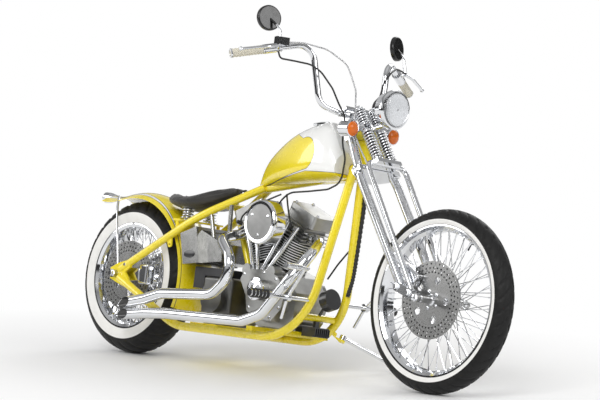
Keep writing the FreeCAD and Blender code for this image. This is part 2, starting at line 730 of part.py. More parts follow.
def drive_line():
    """Primary case on the left, gearbox behind the engine and the chain loop."""
    half = n(size.case_half_width)
    main = Vector(592, 0, 292)
    primary = joined([bar_along_y(CRANK, 112.0, 120, 182), bar_along_y(main, 96.0, 120, 182),
                      box(Vector(main.x, 120, main.z - 94), Vector(CRANK.x, 182, 396))])
    neck = bar_along_y(CRANK, 70.0, half + 10, 120)
    primary = joined([primary, neck])
    primary = primary.cut(box(Vector(400, 110, 120), Vector(1100, 190, 188)))
    feature("primary_cover", [primary])
    gearbox = box(Vector(492, -88, 172), Vector(664, 84, 352))
    gearbox = gearbox.makeFillet(14.0, gearbox.Edges)
    foot = box(Vector(505, -70, 160), Vector(615, 70, 190))
    shaft = bar_along_y(main, 15.0, 80, 119.5)
    lid = bar_along_y(Vector(575, 0, 268), 62.0, -112, -80)
    half_tooth = n(size.sprocket_width) / 2.0
    middle = n(size.chain_offset)
    drive = bar_along_y(main, size.drive_sprocket_radius - size.bearing_gap,
                        middle - half_tooth, middle + half_tooth)
    feature("gearbox", [joined([gearbox, foot, lid, shaft, drive])])
    feature("drive_chain", [chain_loop(main)])


def chain_loop(main):
    """The chain as one closed band round both sprockets."""
    width = n(size.chain_width)
    low = n(size.chain_offset) - width / 2.0
    big = n(size.sprocket_radius)
    small = n(size.drive_sprocket_radius)
    inner = chain_outline(main, big + n(size.bearing_gap), small, low)
    outer = chain_outline(main, big + n(size.chain_height), small + n(size.chain_height), low)
    across = Vector(0, width, 0)
    return Part.Face(outer).extrude(across).cut(Part.Face(inner).extrude(across))


def chain_outline(main, big, small, low):
    """The outline of a band round two circles: two arcs and two tangent runs."""
    gap = main - REAR_AXLE
    slope = math.atan2(gap.z, gap.x)
    turn = math.acos((big - small) / gap.Length)

    def at(centre, radius, angle):
        return Vector(centre.x + radius * math.cos(angle), low,
                      centre.z + radius * math.sin(angle))

    upper, lower = slope + turn, slope - turn
    back = Part.Arc(at(REAR_AXLE, big, upper), at(REAR_AXLE, big, slope + math.pi),
                    at(REAR_AXLE, big, lower)).toShape()
    front = Part.Arc(at(main, small, lower), at(main, small, slope),
                     at(main, small, upper)).toShape()
    runs = [Part.LineSegment(at(REAR_AXLE, big, lower), at(main, small, lower)).toShape(),
            Part.LineSegment(at(main, small, upper), at(REAR_AXLE, big, upper)).toShape()]
    return Part.Wire([back, runs[0], front, runs[1]])


def exhausts(heads):
    """Two chrome pipes from the head ports to slash-cut ends at the rear."""
    out = -n(size.exhaust_offset)
    port_front = tilted(1, 300.0, 78.0, -30.0)
    port_rear = tilted(-1, 300.0, -78.0, -30.0)
    front = [port_front, Vector(1112, -58, 532), Vector(1150, -148, 462),
             Vector(1118, out, 368), Vector(985, out, 222), Vector(880, out, 187),
             Vector(420, out, 180), Vector(300, out, 172), Vector(80, out, 150)]
    rear = [port_rear, Vector(618, -72, 522), Vector(656, -166, 500), Vector(766, out, 430),
            Vector(766, out, 345), Vector(690, out, 277), Vector(385, out, 259),
            Vector(285, out, 230), Vector(80, out, 189)]
    bore = size.exhaust_radius - size.exhaust_wall
    pipes = []
    for route in (front, rear):
        pipe = bent_tube(route, size.exhaust_radius, 90.0)
        tail = route[-1]
        inside = (route[-2] - tail).normalize() * n(size.exhaust_bore_length)
        pipe = pipe.cut(rod(tail - inside * 0.1, tail + inside, bore))
        slash = box(Vector(-200, -200, -40), Vector(0, 200, 40))
        slash.rotate(Vector(0, 0, 0), Vector(0, 0, 1), n(size.exhaust_slash))
        slash.translate(tail + Vector(70, 0, 8))
        pipes.append(largest(cut_by(pipe, [slash] + heads)))
    feature("exhaust_pipes", pipes)
    return pipes


# -------------------------------------------------------------------- body work

TANK_STATIONS = [
    # distance along, bottom, top, half width
    (678, 727, 741, 14), (700, 731, 806, 26), (756, 742, 872, 48), (812, 748, 912, 68),
    (880, 754, 952, 88), (960, 761, 982, 106), (1040, 769, 1003, 115), (1095, 773, 996, 117),
    (1145, 778, 950, 112), (1178, 784, 884, 100),
]
TANK_SECTION = [(0.0, 0.0), (0.60, 0.0), (0.93, 0.12), (1.0, 0.38), (0.90, 0.66), (0.60, 0.90),
                (0.0, 1.0)]


def tank_section(station):
    """One closed cross-section of the tank."""
    x, low, high, half = station
    right = [Vector(x, -a * half, low + b * (high - low)) for a, b in TANK_SECTION]
    left = [Vector(p.x, -p.y, p.z) for p in right[-2:0:-1]]
    curve = Part.BSplineCurve()
    curve.interpolate(right + left, PeriodicFlag=True)
    return Part.Wire(curve.toShape())


def fuel_tank():
    """A teardrop tank with a tunnel for the backbone."""
    shell = Part.makeLoft([tank_section(station) for station in TANK_STATIONS], True, False)
    reach = n(size.backbone_radius) + 3.0
    tunnel = bent_tube([HEAD - STEER_UP * 26.0, Vector(1000, 0, 773), SEAT_JOINT - Vector(60, 0, 9)],
                       reach, 400.0)
    slot = plate([(600, 640), (1260, 760), (1260, 822), (1000, 774), (600, 712)], -reach, reach)
    neck = rod(fork_point(-90, 0, 0), fork_point(230, 0, 0), size.head_radius + 20.0)
    swing = rod(fork_point(58, 0, 0), fork_point(230, 0, 0), size.head_radius + 48.0)
    tank = cut_by(shell, [tunnel, slot, neck, swing] + [upper_rail(side, 3.0) for side in SIDES])
    feature("fuel_tank", [largest(tank)])


SEAT_STATIONS = [
    # distance along, underside, top, half width
    (186, 664, 682, 50), (222, 640, 664, 100), (262, 632, 656, 124), (343, 630, 654, 130),
    (420, 640, 672, 112), (492, 668, 698, 72), (566, 703, 722, 34),
]


def seat_section(station):
    """One closed cross-section of the seat pad."""
    x, low, high, half = station
    rise = high - low
    right = [Vector(x, 0, low), Vector(x, -0.8 * half, low + 0.1 * rise),
             Vector(x, -half, low + 0.7 * rise), Vector(x, -0.84 * half, high + 0.2 * rise),
             Vector(x, 0, high)]
    left = [Vector(p.x, -p.y, p.z) for p in right[-2:0:-1]]
    curve = Part.BSplineCurve()
    curve.interpolate(right + left, PeriodicFlag=True)
    return Part.Wire(curve.toShape())


def seat():
    """A thin sprung solo seat on two coil springs and a front hinge."""
    pad = Part.makeLoft([seat_section(station) for station in SEAT_STATIONS], True, False)
    feature("seat", [pad])
    below = pad.copy()
    below.translate(Vector(0, 0, -n(size.seat_gap)))
    pieces = []
    for side in SIDES:
        base = Vector(318, side * 62, 572)
        coil = [rod(base + Vector(0, 0, 2.0 + 11.0 * turn), base + Vector(0, 0, 8.0 + 11.0 * turn),
                    30.0) for turn in range(5)]
        post = rod(base, base + Vector(0, 0, 64), 12.0)
        pieces.append(cut_by(joined(coil + [post]), [pad, below]))
    hinge = box(Vector(548, -14, 690), Vector(640, 14, 706))
    pieces.append(cut_by(hinge, [pad, below]))
    return pieces


def fender():
    """An arched rear fender that flicks up at its tip, with its two struts."""
    centre = Vector(n(size.fender_centre_x), 0, REAR_AXLE.z)
    radius = n(size.fender_radius)

    def on_arc(degrees, distance=radius):
        angle = math.radians(degrees)
        return centre + Vector(math.cos(angle), 0, math.sin(angle)) * distance

    first, last = -20.0, 105.0
    body_arc = Part.Arc(on_arc(first), on_arc((first + last) / 2.0), on_arc(last)).toShape()
    back = on_arc(last)
    flick_radius = 365.0
    turn = 20.0
    pivot = on_arc(last, radius + flick_radius)

    def on_flick(degrees):
        angle = math.radians(last + 180.0 - degrees)
        return pivot + Vector(math.cos(angle), 0, math.sin(angle)) * flick_radius

    flick = Part.Arc(back, on_flick(turn / 2.0), on_flick(turn)).toShape()
    spine = Part.Wire([body_arc, flick])
    profile = fender_profile(on_arc(first), on_arc(first) - centre)
    shell = spine.makePipeShell([profile], True, False)
    feature("rear_fender", [shell])
    return shell, on_flick(turn)


def fender_profile(crest, outward):
    """The fender's arched section at its crest point."""
    half = n(size.fender_half_width)
    sag = n(size.fender_sagitta)
    wall = n(size.fender_wall)
    out = outward.normalize()

    def arch(drop):
        ends = [crest - out * (sag + drop) + Vector(0, side * half, 0) for side in SIDES]
        return Part.Arc(ends[0], crest - out * drop, ends[1]).toShape(), ends

    top, top_ends = arch(0.0)
    under, under_ends = arch(wall)
    walls = [Part.LineSegment(top_ends[1], under_ends[1]).toShape(),
             Part.LineSegment(under_ends[0], top_ends[0]).toShape()]
    return Part.Wire([top, walls[0], under, walls[1]])


def struts_and_tail_light(shell, tip):
    """Two struts hold the fender, and a bullet light sits behind its tip."""
    struts = []
    for side in SIDES:
        route = [Vector(-6, side * 128, 346), Vector(-34, side * 127, 470),
                 Vector(-84, side * 108, 596), Vector(-122, side * 74, 650)]
        struts.append(cut_by(bent_tube(route, size.strut_radius, 160.0), [shell]))
    struts = [max(strut.Solids, key=lambda solid: solid.CenterOfMass.z * -1) for strut in struts]
    feature("fender_struts", struts)
    length = n(size.tail_light_length)
    radius = n(size.tail_light_radius)
    front = tip + Vector(-8, 0, -10)
    profile = [(0.0, 0.0), (radius * 0.35, 0.0), (radius * 0.62, length * 0.16),
               (radius * 0.92, length * 0.5), (radius, length * 0.84),
               (radius * 0.9, length * 0.86), (radius * 0.62, length), (0.0, length)]
    face = Part.Face(Part.makePolygon([Vector(front.x - b, 0, front.z + a)
                                       for a, b in profile + profile[:1]]))
    bulb = face.revolve(front, Vector(1, 0, 0), 360)
    stalk = rod(tip + Vector(6, 0, -8), tip + Vector(-20, 0, -10), 6.0)
    feature("tail_light", [cut_by(joined([bulb, stalk]), [shell])])


def oil_tank(frame_shapes):
    """Oil tank with a raised side panel, and the battery box below it."""
    panel = plate([(361, 513), (454, 546), (494, 400), (398, 388)], -128, 88)
    rest = plate([(452, 536), (590, 486), (600, 414), (480, 402)], -100, 88)
    necks = [rod(Vector(522, -84, 500), Vector(488, -84, 598), 9.0),
             rod(Vector(586, -60, 470), Vector(574, -60, 650), 9.0)]
    necks = [cut_by(neck, frame_shapes) for neck in necks]
    tank = cut_by(joined([panel, rest] + necks), frame_shapes)
    feature("oil_tank", [largest(tank)])
    case = box(Vector(424, -78, 353), Vector(596, 78, 386))
    lower = box(Vector(424, -78, 300), Vector(488, 78, 386))
    feature("battery_box", [cut_by(joined([case, lower]), frame_shapes + [tank])])


# -------------------------------------------------------------------- front end

def rocker_points():
    """The rocker's pivot on the rigid leg and the middle pin of the spring leg."""
    pivot = fork_point(-n(size.pivot_below_head), n(size.pivot_ahead), 0)
    pin = pivot + (FRONT_AXLE - pivot) * 0.56
    return pivot, pin


def fork():
    """Rigid fork with its stem and trees, spring fork, rockers, springs and axle."""
    head_half = n(size.head_length) / 2.0
    gap = n(size.bearing_gap)
    thick = n(size.tree_thickness)
    ahead = n(size.leg_ahead)
    wide = n(size.leg_spacing)
    narrow = 62.0
    low = -head_half - gap - thick
    high = head_half + gap
    pivot, pin = rocker_points()
    legs = []
    for side in SIDES:
        foot = fork_point(-n(size.pivot_below_head), n(size.pivot_ahead), side * wide)
        straight = fork_point(low - 30.0, ahead, side * wide)
        top = fork_point(high + 4.0, ahead - 4.0, side * narrow)
        legs.append(bent_tube([foot, straight, top], size.leg_radius, 300.0))
        legs.append(bar_along_y(pivot, 20.0, *sorted((side * (wide - 17), side * (wide + 17.5)))))
    lower = fork_plate(low, thick, [(-30, -32), (-30, 32), (10, 112), (52, 112), (58, 60),
                                    (58, -60), (52, -112), (10, -112)])
    upper = fork_plate(high, thick, [(-26, -30), (-26, 30), (4, 78), (46, 74), (104, 62),
                                     (104, -62), (46, -74), (4, -78)])
    stem = rod(fork_point(low, 0, 0), fork_point(high + thick + 10.0, 0, 0), size.stem_radius)
    spring_space = [rod(fork_point(high - 40.0, n(size.spring_ahead), side * n(size.spring_spacing)),
                        fork_point(high + 60.0, n(size.spring_ahead), side * n(size.spring_spacing)),
                        8.0) for side in SIDES]
    rigid = joined(legs + [lower, upper, stem])
    for side in SIDES:
        rigid = rigid.cut(bar_along_y(pivot, size.pin_radius + size.running_clearance,
                                      *sorted((side * (wide - 30), side * (wide + 30)))))
    rigid = cut_by(rigid, spring_space)
    feature("rigid_fork", [rigid])
    spring_fork(low, high, pin)
    rockers(pivot, pin)
    bars_and_controls(high + thick, rigid)
    return rigid


def spring_fork(low, high, pin):
    """The sprung legs and the yoke over them, with both pairs of springs."""
    ahead = n(size.spring_leg_ahead)
    wide = n(size.spring_leg_spacing)
    base = -n(size.yoke_drop)
    pin_along = (pin - HEAD).dot(STEER_UP)
    pin_ahead = (pin - HEAD).dot(STEER_AHEAD)
    wishbone = [fork_point(pin_along, pin_ahead, -wide), fork_point(base, ahead + 6.0, -wide),
                fork_point(base, ahead + 6.0, wide), fork_point(pin_along, pin_ahead, wide)]
    pieces = [bent_tube(wishbone, size.spring_leg_radius, 34.0)]
    for side in SIDES:
        pieces.append(bar_along_y(pin, 14.0, *sorted((side * (wide - 11), side * (wide + 12)))))
    pieces.append(fork_plate(base - 7.0, 16.0, [(60, -66), (60, 66), (112, 66), (112, -66)]))
    seats = [rod(fork_point(base + 5.0, n(size.spring_ahead), side * n(size.spring_spacing)),
                 fork_point(base + 17.0, n(size.spring_ahead), side * n(size.spring_spacing)),
                 size.spring_radius) for side in SIDES]
    rods = [rod(fork_point(base, n(size.spring_ahead), side * n(size.spring_spacing)),
                fork_point(high + n(size.tree_thickness) + n(size.rebound_length) + 8.0,
                           n(size.spring_ahead), side * n(size.spring_spacing)), 7.5)
            for side in SIDES]
    whole = joined(pieces + seats + rods)
    for side in SIDES:
        whole = whole.cut(bar_along_y(pin, size.pin_radius + size.running_clearance,
                                      *sorted((side * (wide - 30), side * (wide + 30)))))
    feature("spring_fork", [whole])
    coils = []
    for side in SIDES:
        for start, end in ((base + 17.3, high - 0.3),
                           (high + n(size.tree_thickness) + 0.3,
                            high + n(size.tree_thickness) + n(size.rebound_length))):
            coils.append(ribbed_spring(side, start, end))
    feature("fork_springs", coils)


def ribbed_spring(side, start, end):
    """A close-wound spring as a sleeve with a groove between its turns."""
    at = n(size.spring_spacing) * side
    ahead = n(size.spring_ahead)
    radius = n(size.spring_radius)
    turns = max(int((end - start) / 9.0), 2)
    pitch = (end - start) / turns
    profile = [(8.2, start)]
    for index in range(turns):
        low = start + index * pitch
        profile += [(radius - 4.0, low), (radius, low + 0.25 * pitch),
                    (radius, low + 0.75 * pitch)]
    profile += [(radius - 4.0, end), (8.2, end)]
    corners = [fork_point(z, ahead + r, at) for r, z in profile]
    face = Part.Face(Part.makePolygon(corners + corners[:1]))
    return face.revolve(fork_point(0, ahead, at), STEER_UP, 360)


def rockers(pivot, pin):
    """The short arms that join both forks and carry the front axle."""
    inner = n(size.rocker_offset)
    outer = inner + n(size.rocker_width)
    arms = []
    reach = n(size.rocker_height) / 2.0
    for side in SIDES:
        y0, y1 = sorted((side * inner, side * outer))
        ends = [bar_along_y(centre, reach, y0, y1) for centre in (pivot, FRONT_AXLE)]
        along = (FRONT_AXLE - pivot).normalize()
        across = Vector(-along.z, 0, along.x) * reach
        corners = [pivot + across, FRONT_AXLE + across, FRONT_AXLE - across, pivot - across]
        web = plate([(corner.x, corner.z) for corner in corners], y0, y1)
        arm = joined(ends + [web])
        for centre in (pivot, pin):
            stub = bar_along_y(centre, size.pin_radius, *sorted((side * (inner - 30), side * outer)))
            arm = joined([arm, stub])
        hole = bar_along_y(FRONT_AXLE, size.axle_radius + size.running_clearance, y0 - 1, y1 + 1)
        arms.append(arm.cut(hole))
    feature("fork_rockers", arms)
    reach = outer + 2.0
    axle = [bar_along_y(FRONT_AXLE, size.axle_radius, -reach, reach)]
    for side in SIDES:
        y0, y1 = sorted((side * reach, side * (reach + 12.0)))
        axle.append(bar_along_y(FRONT_AXLE, size.axle_nut_radius, y0, y1))
    inside = n(size.front_disc_offset) + n(size.disc_width) + 1.0
    for side in SIDES:
        y0, y1 = sorted((side * inside, side * (inner - 0.3)))
        axle.append(bar_along_y(FRONT_AXLE, SPACER_RADIUS, y0, y1))
    feature("front_axle", [joined(axle)])


BAR_ROUTE = [Vector(1165, 0, 1025), Vector(1163, -80, 1028), Vector(1124, -172, 1052),
             Vector(1088, -212, 1282), Vector(949, -490, 1197)]


def control_places():
    """The grip's two ends, the bar's direction there, the lever perch and its pin."""
    way = (BAR_ROUTE[-1] - BAR_ROUTE[-2]).normalize()
    end = BAR_ROUTE[-1]
    start = end - way * n(size.grip_length)
    perch = start - way * 56.0
    pin = perch + LEVER_FORWARD * 34.0 + Vector(0, 0, 6)
    return end, start, way, perch, pin


LEVER_FORWARD = Vector(0.86, -0.5, 0.0)
LEVER_TIP = Vector(1010, -505, 1211)


def bars_and_controls(tree_top, rigid):
    """Risers, handlebar, grips, levers, mirrors, headlight and signals."""
    half_bar = bent_tube(BAR_ROUTE, size.bar_radius, 62.0)
    bar = joined([half_bar, mirrored(half_bar)])
    risers = []
    for side in SIDES:
        base = fork_point(tree_top, 34.0, side * 44.0)
        risers.append(rod(base, Vector(1165, side * 44.0, 1025), 17.0))
        risers.append(bar_along_y(Vector(1165, 0, 1025), 23.0, *sorted((side * 26, side * 62))))
    clamp = fork_plate(192.0, 12.0, [(2, -70), (2, 70), (58, 70), (58, -70)])
    bar = joined([bar, clamp] + risers).cut(rigid)
    feature("handlebar", [bar])
    end, start, way, middle, pin = control_places()
    hole = rod(start - way * 5, end + way, size.bar_radius + size.seat_gap / 6.0)
    cap = rod(end + way * 0.3, end + way * 8.0, size.grip_radius + 1.0)
    grip = rod(start, end + way * 0.2, size.grip_radius).cut(hole)
    grip = joined([grip, cap, rod(end + way * 0.05, end + way * 1.0, size.grip_radius)])
    feature("handlebar_grips", [grip, mirrored(grip)])
    perch = rod(start - way * 70, start - way * 3, 19.0).cut(
        rod(start - way * 80, start, size.bar_radius + size.seat_gap / 6.0))
    arm = rod(middle + LEVER_FORWARD * 15, pin, 9.0)
    bend = pin + LEVER_FORWARD * 20 + way * 44
    lever = bent_tube([pin, bend, LEVER_TIP], 6.0, 60.0)
    knob = Part.makeSphere(9.0, LEVER_TIP)
    reservoir = box(Vector(-26, -17, 0), Vector(26, 17, 30))
    reservoir.rotate(Vector(0, 0, 0), Vector(0, 0, 1), 64.0)
    reservoir.translate(pin + Vector(-6, 14, 4))
    boss = rod(pin, pin + Vector(-8, 4, 34), 7.0)
    right_lever = cut_by(joined([perch, arm, lever, knob, boss, reservoir]), [bar, grip])
    left_lever = cut_by(joined([perch, arm, lever, knob, boss]), [bar, grip])
    feature("hand_levers", [largest(right_lever), mirrored(largest(left_lever))])
    mirrors(pin)
    lights(tree_top, rigid)


def mirrors(hinge):
    """A round mirror on a bent stem at each side."""
    centre = Vector(977, -356, 1356)
    facing = Vector(-0.94, 0.30, -0.12).normalize()
    depth = n(size.mirror_depth)
    shell = rod(centre, centre - facing * depth, size.mirror_radius)
    shell = shell.makeFillet(6.0, [edge for edge in shell.Edges if edge.Length > 100.0][:1])
    back = centre - facing * depth * 0.5
    stem = bent_tube([hinge + Vector(-8, 4, 33), hinge + Vector(-12, 6, 64), back], 5.0, 30.0)
    mirror = joined([shell, stem])
    pair = [cut_by(shape, [upright["hand_levers"]]) for shape in (mirror, mirrored(mirror))]
    feature("mirrors", [largest(shape) for shape in pair])


def lights(tree_top, rigid):
    """Headlight on a bracket ahead of the springs and a signal at each side."""
    radius = n(size.headlight_radius)
    depth = n(size.headlight_depth)
    face = Vector(n(size.headlight_face), 0, n(size.headlight_height))
    profile = [(0.0, 0.0), (radius - 6.0, 2.0), (radius, 8.0), (radius, 20.0),
               (radius - 4.0, 24.0), (radius * 0.86, depth * 0.5), (radius * 0.56, depth * 0.85),
               (radius * 0.2, depth), (0.0, depth)]
    section = Part.Face(Part.makePolygon([Vector(face.x - b, 0, face.z + a)
                                          for a, b in profile + profile[:1]]))
    bowl = section.revolve(face, Vector(1, 0, 0), 360)
    stalk_foot = fork_point(tree_top - 11.0, 104.0, 0)
    stalk = rod(stalk_foot + STEER_AHEAD * 0.3, face - Vector(58, 0, 62), 10.0)
    feature("headlight", [joined([bowl, stalk]).cut(rigid)])
    lamps = []
    side_y = n(size.signal_spacing)
    lamp_radius = n(size.signal_radius)
    lamp_depth = n(size.signal_depth)
    for side in SIDES:
        lens = Vector(1264, side * side_y, 968)
        lamp = rod(lens, lens - Vector(lamp_depth, 0, 0), lamp_radius)
        lamp = lamp.makeFillet(8.0, lamp.Edges[:1])
        inner = fork_point(tree_top - 11.0, 70.0, side * 71.0)
        arm = rod(inner, lens - Vector(lamp_depth * 0.5, 0, 0), 6.0)
        lamps.append(joined([lamp, arm]).cut(rigid))
    feature("turn_signals", [largest(lamp) for lamp in lamps])


def cables():
    """The brake line down to the caliper, and the throttle and clutch cables."""
    end, start, way, perch, pin = control_places()
    line = [pin + Vector(-6, 14, 16), Vector(1100, -266, 1274), Vector(1140, -176, 1264),
            Vector(1195, -114, 1216), Vector(1232, -88, 1120), Vector(1232, -77, 1040),
            fork_point(85, 55, -77), fork_point(-10, 59, -77), fork_point(-80, 65.5, -77),
            fork_point(-160, 58, -84), fork_point(-440, 58, -82), fork_point(-572, 68, -66)]
    line = bent_tube(line, size.brake_line_radius, 80.0)
    held = [upright["front_caliper"], upright["hand_levers"]]
    feature("front_brake_line", [largest(cut_by(line, held))])
    down = Vector(0.36, 0.13, -0.92)
    throttle = [perch + down * 16.0, perch + down * 44.0, Vector(1087, -284, 1200),
                Vector(1118, -232, 1196), Vector(1142, -196, 1172), Vector(1162, -146, 1117),
                Vector(1176, -116, 1062), Vector(1185, -84, 1020), Vector(1170, -66, 916),
                Vector(1193, -62, 858), Vector(1186, -62, 762), Vector(1110, -55, 734),
                Vector(1000, -52, 722), Vector(900, -60, 712), Vector(858, -72, 664),
                Vector(850, -78, 564)]
    clutch = [pin + Vector(0, 2 * abs(pin.y), 0) + Vector(6, -6, 4), Vector(1082, 272, 1262),
              Vector(1120, 206, 1236), Vector(1142, 150, 1188), Vector(1166, 108, 1105),
              Vector(1185, 84, 1020), Vector(1170, 66, 916), Vector(1193, 62, 858),
              Vector(1186, 72, 760), Vector(1132, 128, 560), Vector(1010, 150, 456),
              Vector(962, 150, 394)]
    pair = [bent_tube(throttle, size.cable_radius, 80.0), bent_tube(clutch, size.cable_radius, 80.0)]
    held = [upright[label] for label in ("air_cleaner", "hand_levers", "primary_cover")]
    feature("control_cables", [largest(cut_by(cable, held)) for cable in pair])


# ------------------------------------------------------------ calipers and fittings

def caliper_shape(axle, offset, middle, long_way, inner_y, outer_y):
    """A caliper block with a slot for the disc."""
    block = Part.makeBox(84, outer_y - inner_y, 52, Vector(-42, inner_y, -26))
    block = block.makeFillet(9.0, block.Edges)
    block.rotate(Vector(0, 0, 0), Vector(0, 1, 0), long_way)
    block.translate(middle)
    slot_low = -n(offset) - n(size.disc_width) - 2.5
    slot = bar_along_y(axle, size.disc_radius + 6.0, slot_low, -n(offset) + 2.5)
    return block.cut(slot)


def calipers(rigid):
    """Front caliper on the rigid leg and rear caliper on the axle plate."""
    to_rear = fork_point(-520, 60, 0) - FRONT_AXLE
    middle = FRONT_AXLE + to_rear.normalize() * 128.0
    middle.y = 0
    front = caliper_shape(FRONT_AXLE, size.front_disc_offset, middle, 30.0, -86.0, -44.0)
    arm = rod(middle + Vector(-30, -70, 20), fork_point(-500, n(size.leg_ahead) + 4, -86), 9.0)
    front = joined([front, arm]).cut(rigid)
    feature("front_caliper", [largest(front)])
    rear = caliper_shape(REAR_AXLE, size.rear_disc_offset, Vector(136, 0, 332), 90.0, -112.0, -62.0)
    bracket = plate([(-22, 300), (-22, 344), (30, 354), (112, 352), (118, 304), (30, 292)],
                    -116.0, -106.0)
    spacer = bar_along_y(REAR_AXLE, SPACER_RADIUS + n(size.running_clearance), -140.0, -100.0)
    feature("rear_caliper", [joined([rear, bracket]).cut(spacer)])


def rear_axle():
    """The rear axle with its nuts and spacers."""
    reach = n(size.plate_offset) + n(size.plate_width)
    right = n(size.rear_disc_offset) + n(size.disc_width) + 1.0
    left = n(size.chain_offset) + n(size.sprocket_width) + 1.0
    pieces = [bar_along_y(REAR_AXLE, size.axle_radius, -reach - 4, reach + 4),
              bar_along_y(REAR_AXLE, SPACER_RADIUS, -n(size.plate_offset), -right),
              bar_along_y(REAR_AXLE, SPACER_RADIUS, left, n(size.plate_offset))]
    for side in SIDES:
        y0, y1 = sorted((side * reach, side * (reach + 16.0)))
        pieces.append(bar_along_y(REAR_AXLE, size.axle_nut_radius, y0, y1))
    feature("rear_axle", [joined(pieces)])


def foot_controls(frame_shapes):
    """Forward controls: a peg, a pedal with its pad, and their bracket, on each side."""
    sides = []
    for side in SIDES:
        y = [side * value for value in (100, 200, 300, 400, 280, 360)]
        post = rod(Vector(1132, y[0], 296), Vector(1122, y[2], 297), 8.0)
        peg = rod(Vector(1122, y[2], 297), Vector(1112, y[3], 297), size.peg_radius)
        pivot = Vector(1127, side * 214, 296.5)
        boss = bar_along_y(pivot, 16.0, *sorted((side * 204, side * 224)))
        arm = rod(pivot, Vector(1236, side * 246, 408), 7.0)
        pad_bar = bar_along_y(Vector(1252, 0, 412), 6.0, *sorted((side * 240, side * 284)))
        link = rod(Vector(1236, side * 246, 408), Vector(1252, side * 244, 412), 7.0)
        pad = bar_along_y(Vector(1252, 0, 412), 12.0, *sorted((y[4], y[5])))
        tail = rod(pivot, Vector(1092, side * 200, 214), 6.0)
        whole = joined([post, peg, boss, arm, pad_bar, link, pad, tail])
        sides.append(cut_by(whole, frame_shapes))
    feature("foot_controls", [largest(one) for one in sides])


def small_fittings(frame_shapes):
    """Horn and voltage regulator on the front cross member."""
    horn = rod(Vector(1124, 0, 300), Vector(1160, 0, 312), 42.0)
    stay = rod(Vector(1090, 0, 236), Vector(1130, 0, 300), 6.0)
    feature("horn", [cut_by(joined([horn, stay]), frame_shapes)])
    block = box(Vector(1052, -44, 158), Vector(1112, 44, 196))
    fins = [box(Vector(1112, -44 + 11 * index, 162), Vector(1126, -40 + 11 * index, 192))
            for index in range(9)]
    ear = box(Vector(1076, -10, 190), Vector(1090, 10, 224))
    feature("regulator", [largest(cut_by(joined([block, ear] + fins), frame_shapes))])


def side_stand():
    """A round leg that turns on the frame's pin and stands on a flat foot."""
    pivot, sole, axis = stand_places()
    half = n(size.stand_eye_width) / 2.0
    up = Vector(0, -math.sin(LEAN_RADIANS), math.cos(LEAN_RADIANS))
    foot = Part.makeCylinder(22.0, 6.0, sole, up)
    leg = rod(pivot, sole + up * 5.0, size.stand_radius)
    below = Part.makeCylinder(60.0, 60.0, sole, up * -1.0)
    eye = rod(pivot - axis * half, pivot + axis * half, size.stand_eye_radius)
    hole = rod(pivot - axis * 30.0, pivot + axis * 30.0,
               size.stand_pin_radius + size.running_clearance)
    feature("side_stand", [cut_by(joined([leg, foot, eye]), [below, hole])])


# ------------------------------------------------------------------------ build

def build():
    """Makes every sub-part."""
    frame_shapes = frame()
    wheels()
    heads = engine()
    drive_line()
    exhausts(heads)
    fuel_tank()
    springs = seat()
    feature("seat_springs", [largest(cut_by(piece, frame_shapes)) for piece in springs])
    shell, tip = fender()
    struts_and_tail_light(shell, tip)
    oil_tank(frame_shapes)
    rigid = fork()
    calipers(rigid)
    cables()
    rear_axle()
    foot_controls(frame_shapes)
    small_fittings(frame_shapes)
    side_stand()


def settle():
    """Moves the middle of the footprint to the origin, with the floor at zero."""
    doc.recompute()
    boxes = [obj.Shape.optimalBoundingBox(False, False) for obj in parts.values()]
    middle_x = (min(b.XMin for b in boxes) + max(b.XMax for b in boxes)) / 2.0
    middle_y = (min(b.YMin for b in boxes) + max(b.YMax for b in boxes)) / 2.0
    shift = Vector(-middle_x, -middle_y, 0)
    for obj in parts.values():
        place = obj.Placement
        place.Base = place.Base + shift
        obj.Placement = place
    doc.recompute()
    return shift


def check_objects():
    """Stops if any object failed or any sub-part's shape is unusable."""
    for obj in doc.Objects:
        if "Invalid" in obj.State or "Error" in obj.State:
            raise RuntimeError("object failed: %s %s" % (obj.Label, obj.State))
    for label, obj in parts.items():
        if obj.Shape.isNull() or not obj.Shape.isValid() or not obj.Shape.Solids:
            raise RuntimeError("bad shape: " + label)


def write_parts():
    """Writes each sub-part to its own file."""
    os.makedirs("parts", exist_ok=True)
    for label, obj in parts.items():
        obj.Shape.exportStep("parts/%s.step" % label)


build()
SHIFT = settle()
check_objects()
write_parts()
print("sub-parts:", len(parts))
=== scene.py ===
"""Looks of the bobber motorcycle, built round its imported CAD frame."""

import json
import math
import random

import bpy
import bmesh
from mathutils import Matrix, Vector


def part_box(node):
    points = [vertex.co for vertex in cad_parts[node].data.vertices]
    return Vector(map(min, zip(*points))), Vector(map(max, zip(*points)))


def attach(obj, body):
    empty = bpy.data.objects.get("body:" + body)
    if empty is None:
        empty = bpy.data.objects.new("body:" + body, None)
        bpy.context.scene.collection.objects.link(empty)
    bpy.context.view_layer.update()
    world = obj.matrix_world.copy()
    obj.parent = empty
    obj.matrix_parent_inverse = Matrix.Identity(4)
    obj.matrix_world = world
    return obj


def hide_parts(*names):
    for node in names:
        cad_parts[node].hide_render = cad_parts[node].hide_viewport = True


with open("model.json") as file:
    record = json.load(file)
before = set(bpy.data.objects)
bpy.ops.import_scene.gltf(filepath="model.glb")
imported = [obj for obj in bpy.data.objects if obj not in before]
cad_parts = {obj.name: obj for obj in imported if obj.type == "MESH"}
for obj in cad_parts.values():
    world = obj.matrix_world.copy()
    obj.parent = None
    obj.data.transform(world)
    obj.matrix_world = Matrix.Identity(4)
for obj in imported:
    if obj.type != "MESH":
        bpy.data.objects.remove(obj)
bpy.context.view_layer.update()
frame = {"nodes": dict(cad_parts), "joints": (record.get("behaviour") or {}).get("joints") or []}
NODES = frame["nodes"]
JOINTS = {joint["name"]: joint for joint in frame["joints"]}
random.seed(7)

